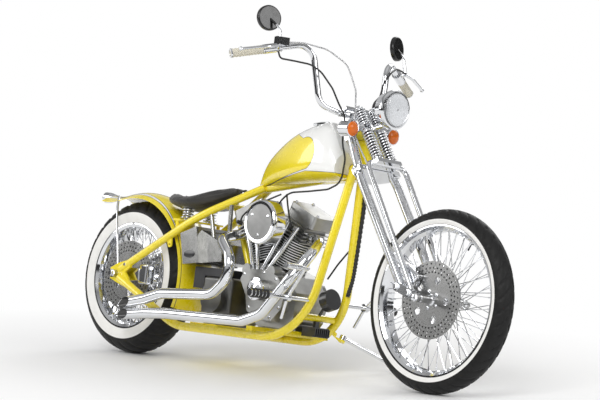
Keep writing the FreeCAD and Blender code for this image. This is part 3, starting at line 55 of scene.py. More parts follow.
# ------------------------------------------------------------------ places
# The machine is laid out upright in millimetres, as in the CAD, and leans on its stand.
LEAN = Matrix.Rotation(math.radians(-9.807), 3, "X")
REAR_HEIGHT = 321.261
FRONT_HEIGHT = 346.697
WHEELBASE = 1726.6
RAKE = math.radians(35.0)
STEER_UP = Vector((-math.sin(RAKE), 0, math.cos(RAKE)))
STEER_AHEAD = Vector((math.cos(RAKE), 0, math.sin(RAKE)))
HEAD = Vector((1236.47, 0, 862.0))
CRANK = Vector((835, 0, 290))
REAR = Vector((0, 0, REAR_HEIGHT))
FRONT = Vector((WHEELBASE, 0, FRONT_HEIGHT))
SHIFT = Vector(JOINTS["rear_wheel_spin"]["pos_m"]) - LEAN @ (REAR / 1000)
ACROSS = LEAN @ Vector((0, 1, 0))
FRAME, STEERING = "frame", "steering"
REAR_WHEEL, FRONT_WHEEL = "rear_wheel", "front_wheel"


def P(x, y, z):
    """A point of the upright machine in millimetres, in the row frame in metres."""
    return LEAN @ Vector((x, y, z)) / 1000 + SHIFT


def PV(v):
    return P(v.x, v.y, v.z)


def fork_point(along, ahead, side):
    return PV(HEAD + STEER_UP * along + STEER_AHEAD * ahead + Vector((0, side, 0)))


def turned(direction):
    return (LEAN @ Vector(direction)).normalized()


STEER_ROW = turned(STEER_UP)


# ------------------------------------------------------------------ meshes
class Shape:
    """Gathers simple swept and turned forms into one mesh."""

    def __init__(self):
        self.verts = []
        self.faces = []
        self.marks = []

    def _ring_faces(self, base, rings, sides, closed, mark):
        last = rings if closed else rings - 1
        for i in range(last):
            for j in range(sides):
                a = base + i * sides + j
                b = base + i * sides + (j + 1) % sides
                c = base + ((i + 1) % rings) * sides + (j + 1) % sides
                d = base + ((i + 1) % rings) * sides + j
                self.faces.append((a, b, c, d))
                self.marks.append(mark)

    def tube(self, path, radius, sides=10, closed=False, mark=0):
        """A round tube along points in the row frame; radius in metres or one per point."""
        count = len(path)
        radii = radius if isinstance(radius, (list, tuple)) else [radius] * count
        base = len(self.verts)
        tangent = (path[1] - path[0]).normalized()
        side = tangent.orthogonal().normalized()
        for i, point in enumerate(path):
            if closed:
                tangent = (path[(i + 1) % count] - path[i - 1]).normalized()
            elif 0 < i < count - 1:
                tangent = (path[i + 1] - path[i - 1]).normalized()
            elif i == count - 1 and count > 1:
                tangent = (path[i] - path[i - 1]).normalized()
            side = (side - tangent * side.dot(tangent)).normalized()
            up = tangent.cross(side)
            for j in range(sides):
                angle = 2 * math.pi * j / sides
                self.verts.append(point + (side * math.cos(angle) + up * math.sin(angle)) * radii[i])
        self._ring_faces(base, count, sides, closed, mark)
        if not closed:
            self.faces.append(tuple(base + j for j in reversed(range(sides))))
            self.faces.append(tuple(base + (count - 1) * sides + j for j in range(sides)))
            self.marks += [mark, mark]

    def lathe(self, centre, axis, profile, sides=32, mark=0, start=None):
        """A solid of revolution from (radius, height) points, in metres."""
        axis = axis.normalized()
        side = axis.orthogonal().normalized() if start is None else start
        up = axis.cross(side)
        base = len(self.verts)
        rings = len(profile)
        for radius, height in profile:
            for j in range(sides):
                angle = 2 * math.pi * j / sides
                ray = side * math.cos(angle) + up * math.sin(angle)
                self.verts.append(centre + axis * height + ray * radius)
        self._ring_faces(base, rings, sides, False, mark)
        if profile[0][0] > 1e-6:
            self.faces.append(tuple(base + j for j in reversed(range(sides))))
            self.marks.append(mark)
        if profile[-1][0] > 1e-6:
            self.faces.append(tuple(base + (rings - 1) * sides + j for j in range(sides)))
            self.marks.append(mark)

    def ring(self, centre, axis, profile, sides=48, mark=0):
        """A closed ring of revolution: the profile is a closed outline."""
        axis = axis.normalized()
        side = axis.orthogonal().normalized()
        up = axis.cross(side)
        base = len(self.verts)
        count = len(profile)
        for j in range(sides):
            angle = 2 * math.pi * j / sides
            ray = side * math.cos(angle) + up * math.sin(angle)
            for radius, height in profile:
                self.verts.append(centre + axis * height + ray * radius)
        self._ring_faces(base, sides, count, True, mark)

    def block(self, centre, x, y, z, mark=0):
        """A block from its centre and three half edges."""
        base = len(self.verts)
        for a in (-1, 1):
            for b in (-1, 1):
                for c in (-1, 1):
                    self.verts.append(centre + x * a + y * b + z * c)
        for face in ((0, 1, 3, 2), (4, 6, 7, 5), (0, 4, 5, 1), (2, 3, 7, 6), (0, 2, 6, 4),
                     (1, 5, 7, 3)):
            self.faces.append(tuple(base + k for k in face))
            self.marks.append(mark)

    def bolt(self, base, axis, radius=0.006, height=0.006, mark=0):
        """A hexagon head on its washer."""
        self.lathe(base, axis, [(radius * 1.35, 0), (radius * 1.35, height * 0.22),
                                (radius * 1.05, height * 0.24)], 20, mark)
        self.lathe(base + axis * height * 0.2, axis,
                   [(radius, 0), (radius, height * 0.7), (radius * 0.82, height)], 6, mark)

    def make(self, name, materials, body, slot, smooth=35.0, bevel=0.0):
        mesh = bpy.data.meshes.new(name)
        mesh.from_pydata([tuple(v) for v in self.verts], [], self.faces)
        mesh.update()
        obj = bpy.data.objects.new(name, mesh)
        bpy.context.scene.collection.objects.link(obj)
        for material in materials if isinstance(materials, list) else [materials]:
            mesh.materials.append(material)
        mesh.polygons.foreach_set("material_index", self.marks)
        fix = bmesh.new()
        fix.from_mesh(mesh)
        bmesh.ops.recalc_face_normals(fix, faces=fix.faces)
        fix.to_mesh(mesh)
        fix.free()
        finish_mesh(obj, smooth, bevel)
        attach(obj, body)
        return obj


def finish_mesh(obj, smooth=35.0, bevel=0.0):
    """Smooth shading with sharp edges kept, and an optional small bevel."""
    mesh = obj.data
    mesh.polygons.foreach_set("use_smooth", [True] * len(mesh.polygons))
    mesh.set_sharp_from_angle(angle=math.radians(smooth))
    if bevel:
        modifier = obj.modifiers.new("edge", "BEVEL")
        modifier.width = bevel
        modifier.segments = 2
        modifier.limit_method = "ANGLE"
        modifier.angle_limit = math.radians(40)


# --------------------------------------------------------------- materials
class Paint:
    """A node material with a principled shader and a few helpers."""

    def __init__(self, name, color, metallic=0.0, roughness=0.4, **sockets):
        self.material = bpy.data.materials.new(name)
        self.material.use_nodes = True
        self.tree = self.material.node_tree
        self.shader = self.tree.nodes["Principled BSDF"]
        self.shader.inputs["Base Color"].default_value = (*color, 1)
        self.shader.inputs["Metallic"].default_value = metallic
        self.shader.inputs["Roughness"].default_value = roughness
        for key, value in sockets.items():
            self.shader.inputs[key.replace("_", " ")].default_value = value
        self.place = self.node("ShaderNodeTexCoord").outputs["Object"]

    def node(self, kind, **values):
        made = self.tree.nodes.new(kind)
        for key, value in values.items():
            setattr(made, key, value)
        return made

    def link(self, a, b):
        self.tree.links.new(a, b)

    def math(self, operation, a, b=0.0, c=None, clamp=False):
        made = self.node("ShaderNodeMath", operation=operation, use_clamp=clamp)
        for index, value in enumerate((a, b) if c is None else (a, b, c)):
            if isinstance(value, (int, float)):
                made.inputs[index].default_value = value
            else:
                self.link(value, made.inputs[index])
        return made.outputs[0]

    def length(self, *parts):
        """The length of a vector from its components."""
        total = None
        for part in parts:
            square = self.math("MULTIPLY", part, part)
            total = square if total is None else self.math("ADD", total, square)
        return self.math("SQRT", total)

    def noise(self, scale, detail=3.0, rough=0.5, stretch=None):
        made = self.node("ShaderNodeTexNoise")
        made.inputs["Scale"].default_value = scale
        made.inputs["Detail"].default_value = detail
        made.inputs["Roughness"].default_value = rough
        source = self.place
        if stretch:
            mapping = self.node("ShaderNodeMapping")
            mapping.inputs["Scale"].default_value = stretch
            self.link(self.place, mapping.inputs["Vector"])
            source = mapping.outputs[0]
        self.link(source, made.inputs["Vector"])
        return made.outputs["Fac"]

    def spread(self, value, low, high):
        made = self.node("ShaderNodeMapRange")
        made.inputs["From Min"].default_value = low
        made.inputs["From Max"].default_value = high
        self.link(value, made.inputs["Value"])
        return made.outputs[0]

    def mix(self, share, a, b):
        made = self.node("ShaderNodeMix", data_type="RGBA")
        for index, value in ((6, a), (7, b)):
            if isinstance(value, (tuple, list)):
                made.inputs[index].default_value = (*value[:3], 1)
            else:
                self.link(value, made.inputs[index])
        if isinstance(share, (int, float)):
            made.inputs[0].default_value = share
        else:
            self.link(share, made.inputs[0])
        return made.outputs[2]

    def color(self, output):
        self.link(output, self.shader.inputs["Base Color"])

    def rough(self, value, low, high):
        made = self.node("ShaderNodeMapRange")
        made.inputs["To Min"].default_value = low
        made.inputs["To Max"].default_value = high
        self.link(value, made.inputs["Value"])
        self.link(made.outputs[0], self.shader.inputs["Roughness"])

    def bump(self, value, strength=0.1, distance=0.001):
        made = self.node("ShaderNodeBump")
        made.inputs["Strength"].default_value = strength
        made.inputs["Distance"].default_value = distance
        self.link(value, made.inputs["Height"])
        self.link(made.outputs[0], self.shader.inputs["Normal"])

    def orange_peel(self, low, high):
        """The faint waviness of sprayed enamel."""
        self.rough(self.noise(40, 4), low, high)
        self.bump(self.noise(420, 2), 0.03, 0.0004)

    def upright(self):
        """The three coordinates of the upright machine, in metres."""
        mapping = self.node("ShaderNodeMapping")
        mapping.inputs["Rotation"].default_value = (math.radians(9.807), 0, 0)
        mapping.inputs["Location"].default_value = -(LEAN.transposed() @ SHIFT)
        self.link(self.place, mapping.inputs["Vector"])
        split = self.node("ShaderNodeSeparateXYZ")
        self.link(mapping.outputs[0], split.inputs[0])
        return split.outputs

    def turned_radius(self, centre):
        """Distance from a cross-wise axis, and place along it, in metres."""
        x, y, z = self.upright()
        dx = self.math("SUBTRACT", x, centre.x / 1000)
        dz = self.math("SUBTRACT", z, centre.z / 1000)
        return self.length(dx, dz), y

    def inside(self, value, edge, soft=0.0004):
        """1 where value is under edge, with a narrow soft border."""
        return self.math("SUBTRACT", 1.0, self.spread(value, edge - soft, edge + soft), clamp=True)


def toned(color, share):
    """The same colour, lighter or darker."""
    return tuple(min(c * share, 1) for c in color)


def dome(radius, depth, steps):
    """The profile of a shallow dome."""
    turns = [math.pi / 2 * k / steps for k in range(steps + 1)]
    return [(radius * math.cos(a), depth * math.sin(a)) for a in turns]


YELLOW = (0.96, 0.775, 0.012)
WHITE = (0.93, 0.93, 0.91)
DARK_LINE = (0.05, 0.045, 0.03)


def gloss_paint(name, color):
    """Gloss enamel under lacquer with a faint orange peel and dust in its corners."""
    paint = Paint(name, color, 0.0, 0.28, Coat_Weight=1.0, Coat_Roughness=0.04)
    drift = paint.noise(3.5, 3)
    paint.color(paint.mix(paint.spread(drift, 0.35, 0.7), toned(color, 0.93), color))
    paint.orange_peel(0.22, 0.34)
    return paint


def tank_paint():
    """White enamel with a yellow teardrop, a yellow lower strip and dark pinstripes."""
    paint = Paint("tank_enamel", WHITE, 0.0, 0.26, Coat_Weight=1.0, Coat_Roughness=0.03)
    x, y, z = paint.upright()
    tail = (0.712, 0.732)
    nose = (1.005, 0.866)
    radius = 0.066
    run = (nose[0] - tail[0], nose[1] - tail[1])
    length = run[0] ** 2 + run[1] ** 2
    dx = paint.math("SUBTRACT", x, tail[0])
    dz = paint.math("SUBTRACT", z, tail[1])
    along = paint.math("ADD", paint.math("MULTIPLY", dx, run[0] / length),
                       paint.math("MULTIPLY", dz, run[1] / length))
    along = paint.math("MAXIMUM", paint.math("MINIMUM", along, 1.0), 0.0)
    ex = paint.math("SUBTRACT", dx, paint.math("MULTIPLY", along, run[0]))
    ez = paint.math("SUBTRACT", dz, paint.math("MULTIPLY", along, run[1]))
    away = paint.length(ex, ez)
    above = paint.math("SUBTRACT", paint.math("MULTIPLY", dz, run[0]),
                       paint.math("MULTIPLY", dx, run[1]))
    above = paint.math("GREATER_THAN", above, 0.0)
    spare = paint.math("MULTIPLY", above, paint.math("MULTIPLY_ADD", along, -0.36, 0.36))
    reach = paint.math("MULTIPLY_ADD", along, radius, spare)
    drop = paint.math("SUBTRACT", away, reach)
    slope = paint.math("MULTIPLY_ADD", x, 0.20, 0.737 - 0.724 * 0.20)
    strip = paint.math("SUBTRACT", z, paint.math("MINIMUM", slope, 0.797))
    yellow = paint.math("MAXIMUM", paint.inside(drop, 0.0), paint.inside(strip, 0.0), clamp=True)
    lines = paint.math("MAXIMUM", paint.inside(paint.math("ABSOLUTE", drop), 0.0011),
                       paint.inside(paint.math("ABSOLUTE", strip), 0.0009), clamp=True)
    drift = paint.spread(paint.noise(3.5, 3), 0.35, 0.7)
    base = paint.mix(yellow, WHITE, paint.mix(drift, toned(YELLOW, 0.94), YELLOW))
    paint.color(paint.mix(lines, base, DARK_LINE))
    paint.orange_peel(0.2, 0.32)
    return paint


def fender_paint():
    """Yellow enamel with a white band along each side that narrows to a point."""
    paint = Paint("fender_enamel", YELLOW, 0.0, 0.28, Coat_Weight=1.0, Coat_Roughness=0.04)
    x, y, z = paint.upright()
    dx = paint.math("SUBTRACT", x, 0.012)
    dz = paint.math("SUBTRACT", z, REAR_HEIGHT / 1000)
    angle = paint.math("ARCTAN2", dz, dx)
    side = paint.math("ABSOLUTE", y)
    share = paint.spread(angle, math.radians(28), math.radians(112))
    middle = paint.math("MULTIPLY_ADD", share, -0.030, 0.082)
    half = paint.math("MULTIPLY", paint.math("MINIMUM", paint.math("MAXIMUM", share, 0.0), 1.0),
                      0.011)
    off = paint.math("SUBTRACT", paint.math("ABSOLUTE", paint.math("SUBTRACT", side, middle)), half)
    white = paint.inside(off, 0.0)
    lines = paint.inside(paint.math("ABSOLUTE", off), 0.0011)
    drift = paint.spread(paint.noise(3.5, 3), 0.35, 0.7)
    base = paint.mix(drift, toned(YELLOW, 0.94), YELLOW)
    paint.color(paint.mix(lines, paint.mix(white, base, WHITE), DARK_LINE))
    paint.orange_peel(0.22, 0.34)
    return paint


def chrome(name="chrome", color=(0.80, 0.81, 0.83), low=0.03, high=0.11):
    """Plated metal with faint polishing swirls and haze."""
    paint = Paint(name, color, 1.0, 0.06)
    haze = paint.noise(18, 4, 0.6)
    paint.rough(haze, low, high)
    paint.color(paint.mix(paint.spread(haze, 0.3, 0.7), toned(color, 0.93), color))
    paint.bump(paint.noise(160, 2), 0.02, 0.0003)
    return paint


def alloy(name, color, low, high, grain=220, strength=0.12, metallic=1.0):
    """Cast or machined aluminium with grain and grime in its lows."""
    paint = Paint(name, color, metallic, 0.35)
    grime = paint.noise(14, 5, 0.6)
    paint.color(paint.mix(paint.spread(grime, 0.3, 0.75), toned(color, 0.72), color))
    paint.rough(paint.noise(55, 4), low, high)
    paint.bump(paint.noise(grain, 4, 0.6), strength, 0.0006)
    return paint


def brushed(name, color=(0.34, 0.34, 0.335), centre=None):
    """Turned steel: rings of fine scratches round a wheel's axle, with painted shade as a near-black spot
    where each drilled hole stands.
    """
    paint = Paint(name, color, 1.0, 0.28)
    radius, y = paint.turned_radius(centre)
    wave = paint.node("ShaderNodeTexNoise", noise_dimensions="1D")
    paint.link(radius, wave.inputs["W"])
    wave.inputs["Scale"].default_value = 1400
    wave.inputs["Detail"].default_value = 4
    paint.rough(wave.outputs["Fac"], 0.2, 0.36)
    x, y, z = paint.upright()
    hole_shade_mask = drilled(paint, radius, paint.math("SUBTRACT", x, centre.x / 1000),
                    paint.math("SUBTRACT", z, centre.z / 1000), (0.104, 0.120, 0.136), 40, 0.0036)
    worn = paint.mix(paint.spread(wave.outputs["Fac"], 0.3, 0.7),
                     toned(color, 0.8), color)
    # painted shade: each drilled hole is painted as a near-black spot (0.012) that stands in for the dark
    # inside the hole
    paint.color(paint.mix(hole_shade_mask, worn, (0.012, 0.012, 0.012)))
    paint.bump(wave.outputs["Fac"], 0.12, 0.0003)
    return paint


def dark_enamel(name="black_enamel", color=(0.018, 0.018, 0.02)):
    paint = Paint(name, color, 0.0, 0.3, Coat_Weight=0.4)
    paint.rough(paint.noise(60, 4), 0.22, 0.42)
    paint.bump(paint.noise(500, 3), 0.06, 0.0004)
    worn = paint.spread(paint.noise(9, 5, 0.65), 0.45, 0.8)
    paint.color(paint.mix(worn, color, toned(color, 2.2)))
    return paint


def tyre_rubber(name, centre, wall_low, wall_high, tread_radius):
    """Black rubber with a raised white ring on the sidewall and a duller tread."""
    paint = Paint(name, (0.02, 0.02, 0.02), 0.0, 0.6, Specular_IOR_Level=0.25)
    radius, y = paint.turned_radius(centre)
    ring = paint.math("MULTIPLY", paint.inside(radius, wall_high, 0.0006),
                      paint.math("SUBTRACT", 1.0, paint.inside(radius, wall_low, 0.0006)))
    dust = paint.noise(26, 5, 0.6)
    black = paint.mix(paint.spread(dust, 0.35, 0.8), (0.005, 0.005, 0.005), (0.016, 0.0155, 0.015))
    worn = paint.inside(paint.math("MULTIPLY", radius, -1.0), -tread_radius, 0.004)
    black = paint.mix(worn, black, (0.012, 0.012, 0.012))
    chalk = paint.mix(paint.spread(dust, 0.3, 0.8), (0.83, 0.82, 0.79), (0.90, 0.89, 0.87))
    paint.color(paint.mix(ring, black, chalk))
    paint.rough(paint.noise(90, 4), 0.42, 0.66)
    wave = paint.node("ShaderNodeTexNoise", noise_dimensions="1D")
    paint.link(radius, wave.inputs["W"])
    wave.inputs["Scale"].default_value = 500
    paint.bump(wave.outputs["Fac"], 0.15, 0.0005)
    return paint


def leather():
    """Black leather: pebbled grain, soft creases and a little wear."""
    paint = Paint("seat_leather", (0.02, 0.019, 0.018), 0.0, 0.42, Sheen_Weight=0.15)
    cells = paint.node("ShaderNodeTexVoronoi", feature="DISTANCE_TO_EDGE")
    cells.inputs["Scale"].default_value = 420
    paint.link(paint.place, cells.inputs["Vector"])
    creases = paint.noise(24, 5, 0.6)
    height = paint.math("ADD", paint.math("MULTIPLY", cells.outputs["Distance"], 2.0), creases)
    paint.bump(height, 0.35, 0.0009)
    paint.rough(creases, 0.3, 0.5)
    worn = paint.spread(paint.noise(7, 4), 0.5, 0.8)
    paint.color(paint.mix(worn, (0.016, 0.015, 0.014), (0.05, 0.045, 0.04)))
    return paint


def soft_plastic(name, color, low=0.35, high=0.55, grain=300):
    paint = Paint(name, color, 0.0, 0.5)
    paint.rough(paint.noise(50, 4), low, high)
    paint.bump(paint.noise(grain, 3), 0.12, 0.0005)
    shade = paint.spread(paint.noise(8, 4), 0.35, 0.75)
    paint.color(paint.mix(shade, toned(color, 0.85), color))
    return paint


def lens(name, color, rough=0.08, weight=0.85):
    """Tinted moulded lens with faint flutes."""
    paint = Paint(name, color, 0.0, rough, Transmission_Weight=weight, IOR=1.49)
    x, y, z = paint.upright()
    wave = paint.math("SINE", paint.math("MULTIPLY", y, 900.0))
    paint.bump(wave, 0.25, 0.0006)
    return paint


def braided():
    """Clear-coated steel braid."""
    paint = Paint("steel_braid", (0.52, 0.52, 0.53), 1.0, 0.3)
    weave = paint.node("ShaderNodeTexVoronoi")
    weave.inputs["Scale"].default_value = 900
    paint.link(paint.place, weave.inputs["Vector"])
    paint.bump(weave.outputs["Distance"], 0.5, 0.0006)
    paint.rough(weave.outputs["Distance"], 0.2, 0.4)
    return paint


def mirror_black():
    """Black mirror shells on plated stems."""
    paint = Paint("mirror_shell", (0.012, 0.012, 0.012), 0.0, 0.3)
    x, y, z = paint.upright()
    dx = paint.math("SUBTRACT", x, 0.977)
    dy = paint.math("SUBTRACT", paint.math("ABSOLUTE", y), 0.356)
    dz = paint.math("SUBTRACT", z, 1.356)
    stem = paint.math("SUBTRACT", 1.0, paint.inside(paint.length(dx, dy, dz), 0.053, 0.001))
    paint.color(paint.mix(stem, (0.012, 0.012, 0.012), (0.78, 0.79, 0.81)))
    paint.link(stem, paint.shader.inputs["Metallic"])
    haze = paint.noise(60, 4)
    paint.rough(haze, 0.1, 0.28)
    paint.bump(haze, 0.03, 0.0004)
    return paint


def drilled(paint, radius, dx, dz, rings, count, hole):
    """1 inside each small drilled hole that stands in rings round the axle; these spots take painted shade.
    """
    angle = paint.math("ARCTAN2", dz, dx)
    found = None
    for index, ring in enumerate(rings):
        turn = paint.math("MULTIPLY_ADD", angle, count / (2 * math.pi), count + 0.33 * index)
        part = paint.math("SUBTRACT", paint.math("FRACT", turn), 0.5)
        across = paint.math("MULTIPLY", part, ring * 2 * math.pi / count)
        off = paint.math("SUBTRACT", radius, ring)
        spot = paint.inside(paint.length(across, off), hole, 0.0004)
        found = spot if found is None else paint.math("MAXIMUM", found, spot)
    return found


def barrel_black():
    """Black barrels whose fin rims are machined bright."""
    paint = Paint("cylinder_black", (0.02, 0.02, 0.02), 0.3, 0.45)
    x, y, z = paint.upright()
    dx = paint.math("SUBTRACT", x, CRANK.x / 1000)
    dz = paint.math("SUBTRACT", z, CRANK.z / 1000)
    bright = None
    for lean in (-1, 1):
        angle = math.radians(22.5) * lean
        across = paint.math("SUBTRACT", paint.math("MULTIPLY", dx, math.cos(angle)),
                            paint.math("MULTIPLY", dz, math.sin(angle)))
        reach = paint.length(across, y)
        same = paint.math("GREATER_THAN", paint.math("MULTIPLY", dx, float(lean)), 0.0)
        edge = paint.math("MULTIPLY", same, paint.math("GREATER_THAN", reach, 0.0730))
        bright = edge if bright is None else paint.math("MAXIMUM", bright, edge)
    paint.color(paint.mix(bright, (0.02, 0.02, 0.02), (0.72, 0.72, 0.72)))
    paint.link(paint.math("MAXIMUM", bright, 0.3), paint.shader.inputs["Metallic"])
    paint.rough(paint.noise(70, 4), 0.3, 0.55)
    paint.bump(paint.noise(350, 3), 0.15, 0.0005)
    return paint


MAT = {
    "yellow": gloss_paint("yellow_enamel", YELLOW).material,
    "tank": tank_paint().material,
    "fender": fender_paint().material,
    "chrome": chrome().material,
    "cast": alloy("cast_aluminium", (0.44, 0.44, 0.43), 0.26, 0.44).material,
    "polished": alloy("polished_aluminium", (0.40, 0.40, 0.39), 0.16, 0.32, 90, 0.04).material,
    "gear_case": alloy("gearbox_grey", (0.20, 0.20, 0.195), 0.32, 0.5).material,
    "front_disc": brushed("front_disc_steel", centre=FRONT).material,
    "rear_disc": brushed("rear_disc_steel", centre=REAR).material,
    "steel": alloy("bright_steel", (0.55, 0.55, 0.55), 0.22, 0.38, 300, 0.08).material,
    "black": dark_enamel().material,
    "barrel": barrel_black().material,
    "mirror_shell": mirror_black().material,
    "front_rubber": tyre_rubber("front_tyre_rubber", FRONT, 0.2865, 0.3045, 0.330).material,
    "rear_rubber": tyre_rubber("rear_tyre_rubber", REAR, 0.2235, 0.2660, 0.304).material,
    "leather": leather().material,
    "ivory": soft_plastic("ivory_grip", (0.72, 0.68, 0.56), 0.3, 0.45, 120).material,
    "rubber": soft_plastic("black_rubber", (0.02, 0.02, 0.02), 0.45, 0.65).material,
    "amber": lens("amber_lens", (0.95, 0.22, 0.01), 0.12, 0.35).material,
    "red": lens("red_lens", (0.75, 0.01, 0.01), 0.1, 0.35).material,
    "glass": lens("headlight_glass", (0.95, 0.96, 0.97), 0.03, 0.9).material,
    "mirror": chrome("mirror_glass", (0.86, 0.87, 0.88), 0.01, 0.03).material,
    "braid": braided().material,
}

CAD_LOOKS = {
    "frame_backbone": "yellow", "frame_upper_rails": "yellow", "frame_cradle_tubes": "yellow",
    "frame_cross_members": "yellow", "fuel_tank": "tank", "rear_fender": "fender",
    "fender_struts": "chrome", "tail_light": "chrome", "oil_tank": "polished",
    "battery_box": "black", "crankcase": "cast", "cylinders": "barrel",
    "cylinder_heads": "cast", "pushrod_tubes": "chrome", "air_cleaner": "chrome",
    "primary_cover": "polished", "gearbox": "gear_case", "drive_chain": "steel",
    "exhaust_pipes": "chrome", "foot_controls": "chrome", "horn": "black", "regulator": "black",
    "rear_axle": "steel", "rear_caliper": "chrome", "side_stand": "chrome",
    "rear_tyre": "rear_rubber", "rear_rim": "chrome", "rear_spokes": "chrome",
    "rear_hub": "chrome", "rear_brake_disc": "rear_disc", "rear_sprocket": "rear_disc",
    "rigid_fork": "chrome", "spring_fork": "chrome", "fork_rockers": "chrome",
    "fork_springs": "chrome", "front_axle": "steel", "handlebar": "chrome",
    "handlebar_grips": "ivory", "hand_levers": "chrome", "mirrors": "mirror_shell",
    "headlight": "chrome", "turn_signals": "chrome", "front_caliper": "chrome",
    "front_brake_line": "braid", "control_cables": "rubber", "front_tyre": "front_rubber",
    "front_rim": "chrome", "front_spokes": "chrome", "front_hub": "chrome",
    "front_brake_disc": "front_disc", "seat": "leather", "seat_springs": "chrome",
}


def dress_cad():
    """Gives each CAD node its material."""
    for name, look in CAD_LOOKS.items():
        node = NODES[name]
        node.data.materials.clear()
        node.data.materials.append(MAT[look])
        node.data.polygons.foreach_set("material_index", [0] * len(node.data.polygons))


# ------------------------------------------------------------------- wheels
def wheel_ray(angle):
    return turned((math.cos(angle), 0, math.sin(angle)))


def spoked(name, centre, flange, half, rim, node, body, count, radius):
    """Crossed spokes with their nipples, from both hub flanges to the rim."""
    shape = Shape()
    hub = PV(centre)
    for side in (-1, 1):
        for index in range(count):
            sweep = 1 if index % 2 else -1
            at_rim = 2 * math.pi * (index + 0.25 * side) / count
            at_hub = at_rim + sweep * math.radians(52)
            inner = hub + wheel_ray(at_hub) * flange + ACROSS * side * half
            outer = hub + wheel_ray(at_rim) * rim + ACROSS * side * 0.010
            away = (outer - inner).normalized()
            shape.tube([inner, outer], radius, 6)
            shape.tube([outer - away * 0.016, outer], radius * 1.9, 6)
            shape.lathe(inner - ACROSS * side * 0.003, ACROSS * side,
                        [(radius * 2.2, 0), (radius * 2.2, 0.002), (radius, 0.004)], 8)
    piece = shape.make(name, MAT["chrome"], body, "chrome", 40)
    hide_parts(node)
    return piece


def tyre_mesh(name, centre, radius, width, bead, bead_width, crown, node, look, body, depth,
              blocks, sweep):
    """A tyre with a round tread whose swept grooves are cut in the surface."""
    half = width / 2
    reach = math.asin(half / crown)
    profile = []
    rows = 30
    for row in range(rows + 1):
        angle = -reach + 2 * reach * row / rows
        profile.append((radius - crown + crown * math.cos(angle), crown * math.sin(angle), True))
    low = radius - crown + crown * math.cos(reach)
    fifths = (0.2, 0.4, 0.6, 0.8, 1.0)
    for side, shares in ((1, fifths), (-1, fifths[::-1])):
        for share in shares:
            bulge = 0.004 * math.sin(math.pi * share)
            out = half + bulge - (half - bead_width / 2) * share
            profile.append((low + (bead - low) * share, side * out, False))
    shape = Shape()
    hub = PV(centre)
    sides = blocks * 10
    count = len(profile)
    for j in range(sides):
        ray = wheel_ray(2 * math.pi * j / sides)
        for r, h, tread in profile:
            cut = 0.0
            if tread:
                share = abs(h) / half
                phase = blocks * (j / sides) + sweep * share + (0.5 if h > 0 else 0)
                groove = abs((phase % 1.0) - 0.5)
                if 0.14 < share < 0.92 and groove < 0.11:
                    cut = depth
                if share > 0.97:
                    cut = depth * 0.3
            shape.verts.append(hub + ray * (r - cut) + ACROSS * h)
    shape._ring_faces(0, sides, count, True, 0)
    piece = shape.make(name, look, body, "tyre", 50)
    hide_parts(node)
    return piece


def valve(centre, rim, body):
    shape = Shape()
    ray = wheel_ray(math.radians(62))
    foot = PV(centre) + ray * rim
    shape.lathe(foot, -ray, [(0.004, 0), (0.004, 0.012), (0.0028, 0.013), (0.0028, 0.03),
                             (0.0034, 0.031), (0.0034, 0.038)], 12)
    shape.make(body + "_valve", MAT["rubber"], body, "cable_rubber")


def disc_bolts(name, centre, offset, body):
    """Button bolts that hold the disc to its hub."""
    shape = Shape()
    for index in range(5):
        ray = wheel_ray(2 * math.pi * (index + 0.5) / 5)
        base = PV(centre) + ray * 0.034 - ACROSS * offset
        shape.bolt(base, -ACROSS, 0.0055, 0.005)
    cap = [(0.020, 0), (0.021, 0.004), (0.018, 0.008), (0.017, 0.008)]
    shape.lathe(PV(centre) - ACROSS * (offset - 0.001), -ACROSS, cap, 32)
    shape.make(name, MAT["chrome"], body, "chrome")


def wheels():
    spoked("crossed_front_spokes", FRONT, 0.043, 0.035, 0.2610, "front_spokes", FRONT_WHEEL, 40,
           0.0016)
    spoked("crossed_rear_spokes", REAR, 0.054, 0.049, 0.1960, "rear_spokes", REAR_WHEEL, 40,
           0.0018)
    tyre_mesh("grooved_front_tyre", FRONT, 0.346, 0.090, 0.285, 0.078, 0.047, "front_tyre",
              MAT["front_rubber"], FRONT_WHEEL, 0.0035, 40, 1.1)
    tyre_mesh("grooved_rear_tyre", REAR, 0.320, 0.150, 0.222, 0.140, 0.085, "rear_tyre",
              MAT["rear_rubber"], REAR_WHEEL, 0.004, 30, 1.2)
    valve(FRONT, 0.262, FRONT_WHEEL)
    valve(REAR, 0.198, REAR_WHEEL)
    disc_bolts("front_disc_bolts", FRONT, 0.057, FRONT_WHEEL)
    disc_bolts("rear_disc_bolts", REAR, 0.079, REAR_WHEEL)


# -------------------------------------------------------------------- fork
def helix(start, end, radius, turns, steps=20):
    """Points of a coil of even pitch."""
    axis = (end - start).normalized()
    side = axis.orthogonal().normalized()
    up = axis.cross(side)
    length = (end - start).length
    points = []
    total = int(turns * steps)
    for index in range(total + 1):
        share = index / total
        angle = 2 * math.pi * turns * share
        points.append(start + axis * length * share
                      + (side * math.cos(angle) + up * math.sin(angle)) * radius)
    return points


def fork_coils():
    """Four wound springs with their end cups and inner rods."""
    shape = Shape()
    tree_top = 93.0
    for side in (-37, 37):
        for low, high, turns in ((-62, 70, 10), (93.5, 168, 6)):
            start = fork_point(low + 3.0, 88, side)
            end = fork_point(high - 3.0, 88, side)
            shape.tube(helix(start, end, 0.0186, turns, 24), 0.0038, 10)
            shape.lathe(start, end - start, [(0.0125, 0), (0.0125, (end - start).length)], 24, 1)
            for place, way in ((fork_point(low, 88, side), 1), (fork_point(high, 88, side), -1)):
                shape.lathe(place, (end - start) * way, [(0.0220, 0.0), (0.0225, 0.001),
                                                         (0.0225, 0.004), (0.019, 0.006)], 32)
        shape.lathe(fork_point(tree_top + 76, 88, side), STEER_ROW, [(0.015, 0), (0.016, 0.003),
                    (0.016, 0.009), (0.012, 0.013), (0.007, 0.0155)], 6)
    piece = shape.make("wound_fork_springs", [MAT["chrome"], MAT["black"]], STEERING, "chrome", 45)
    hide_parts("fork_springs")


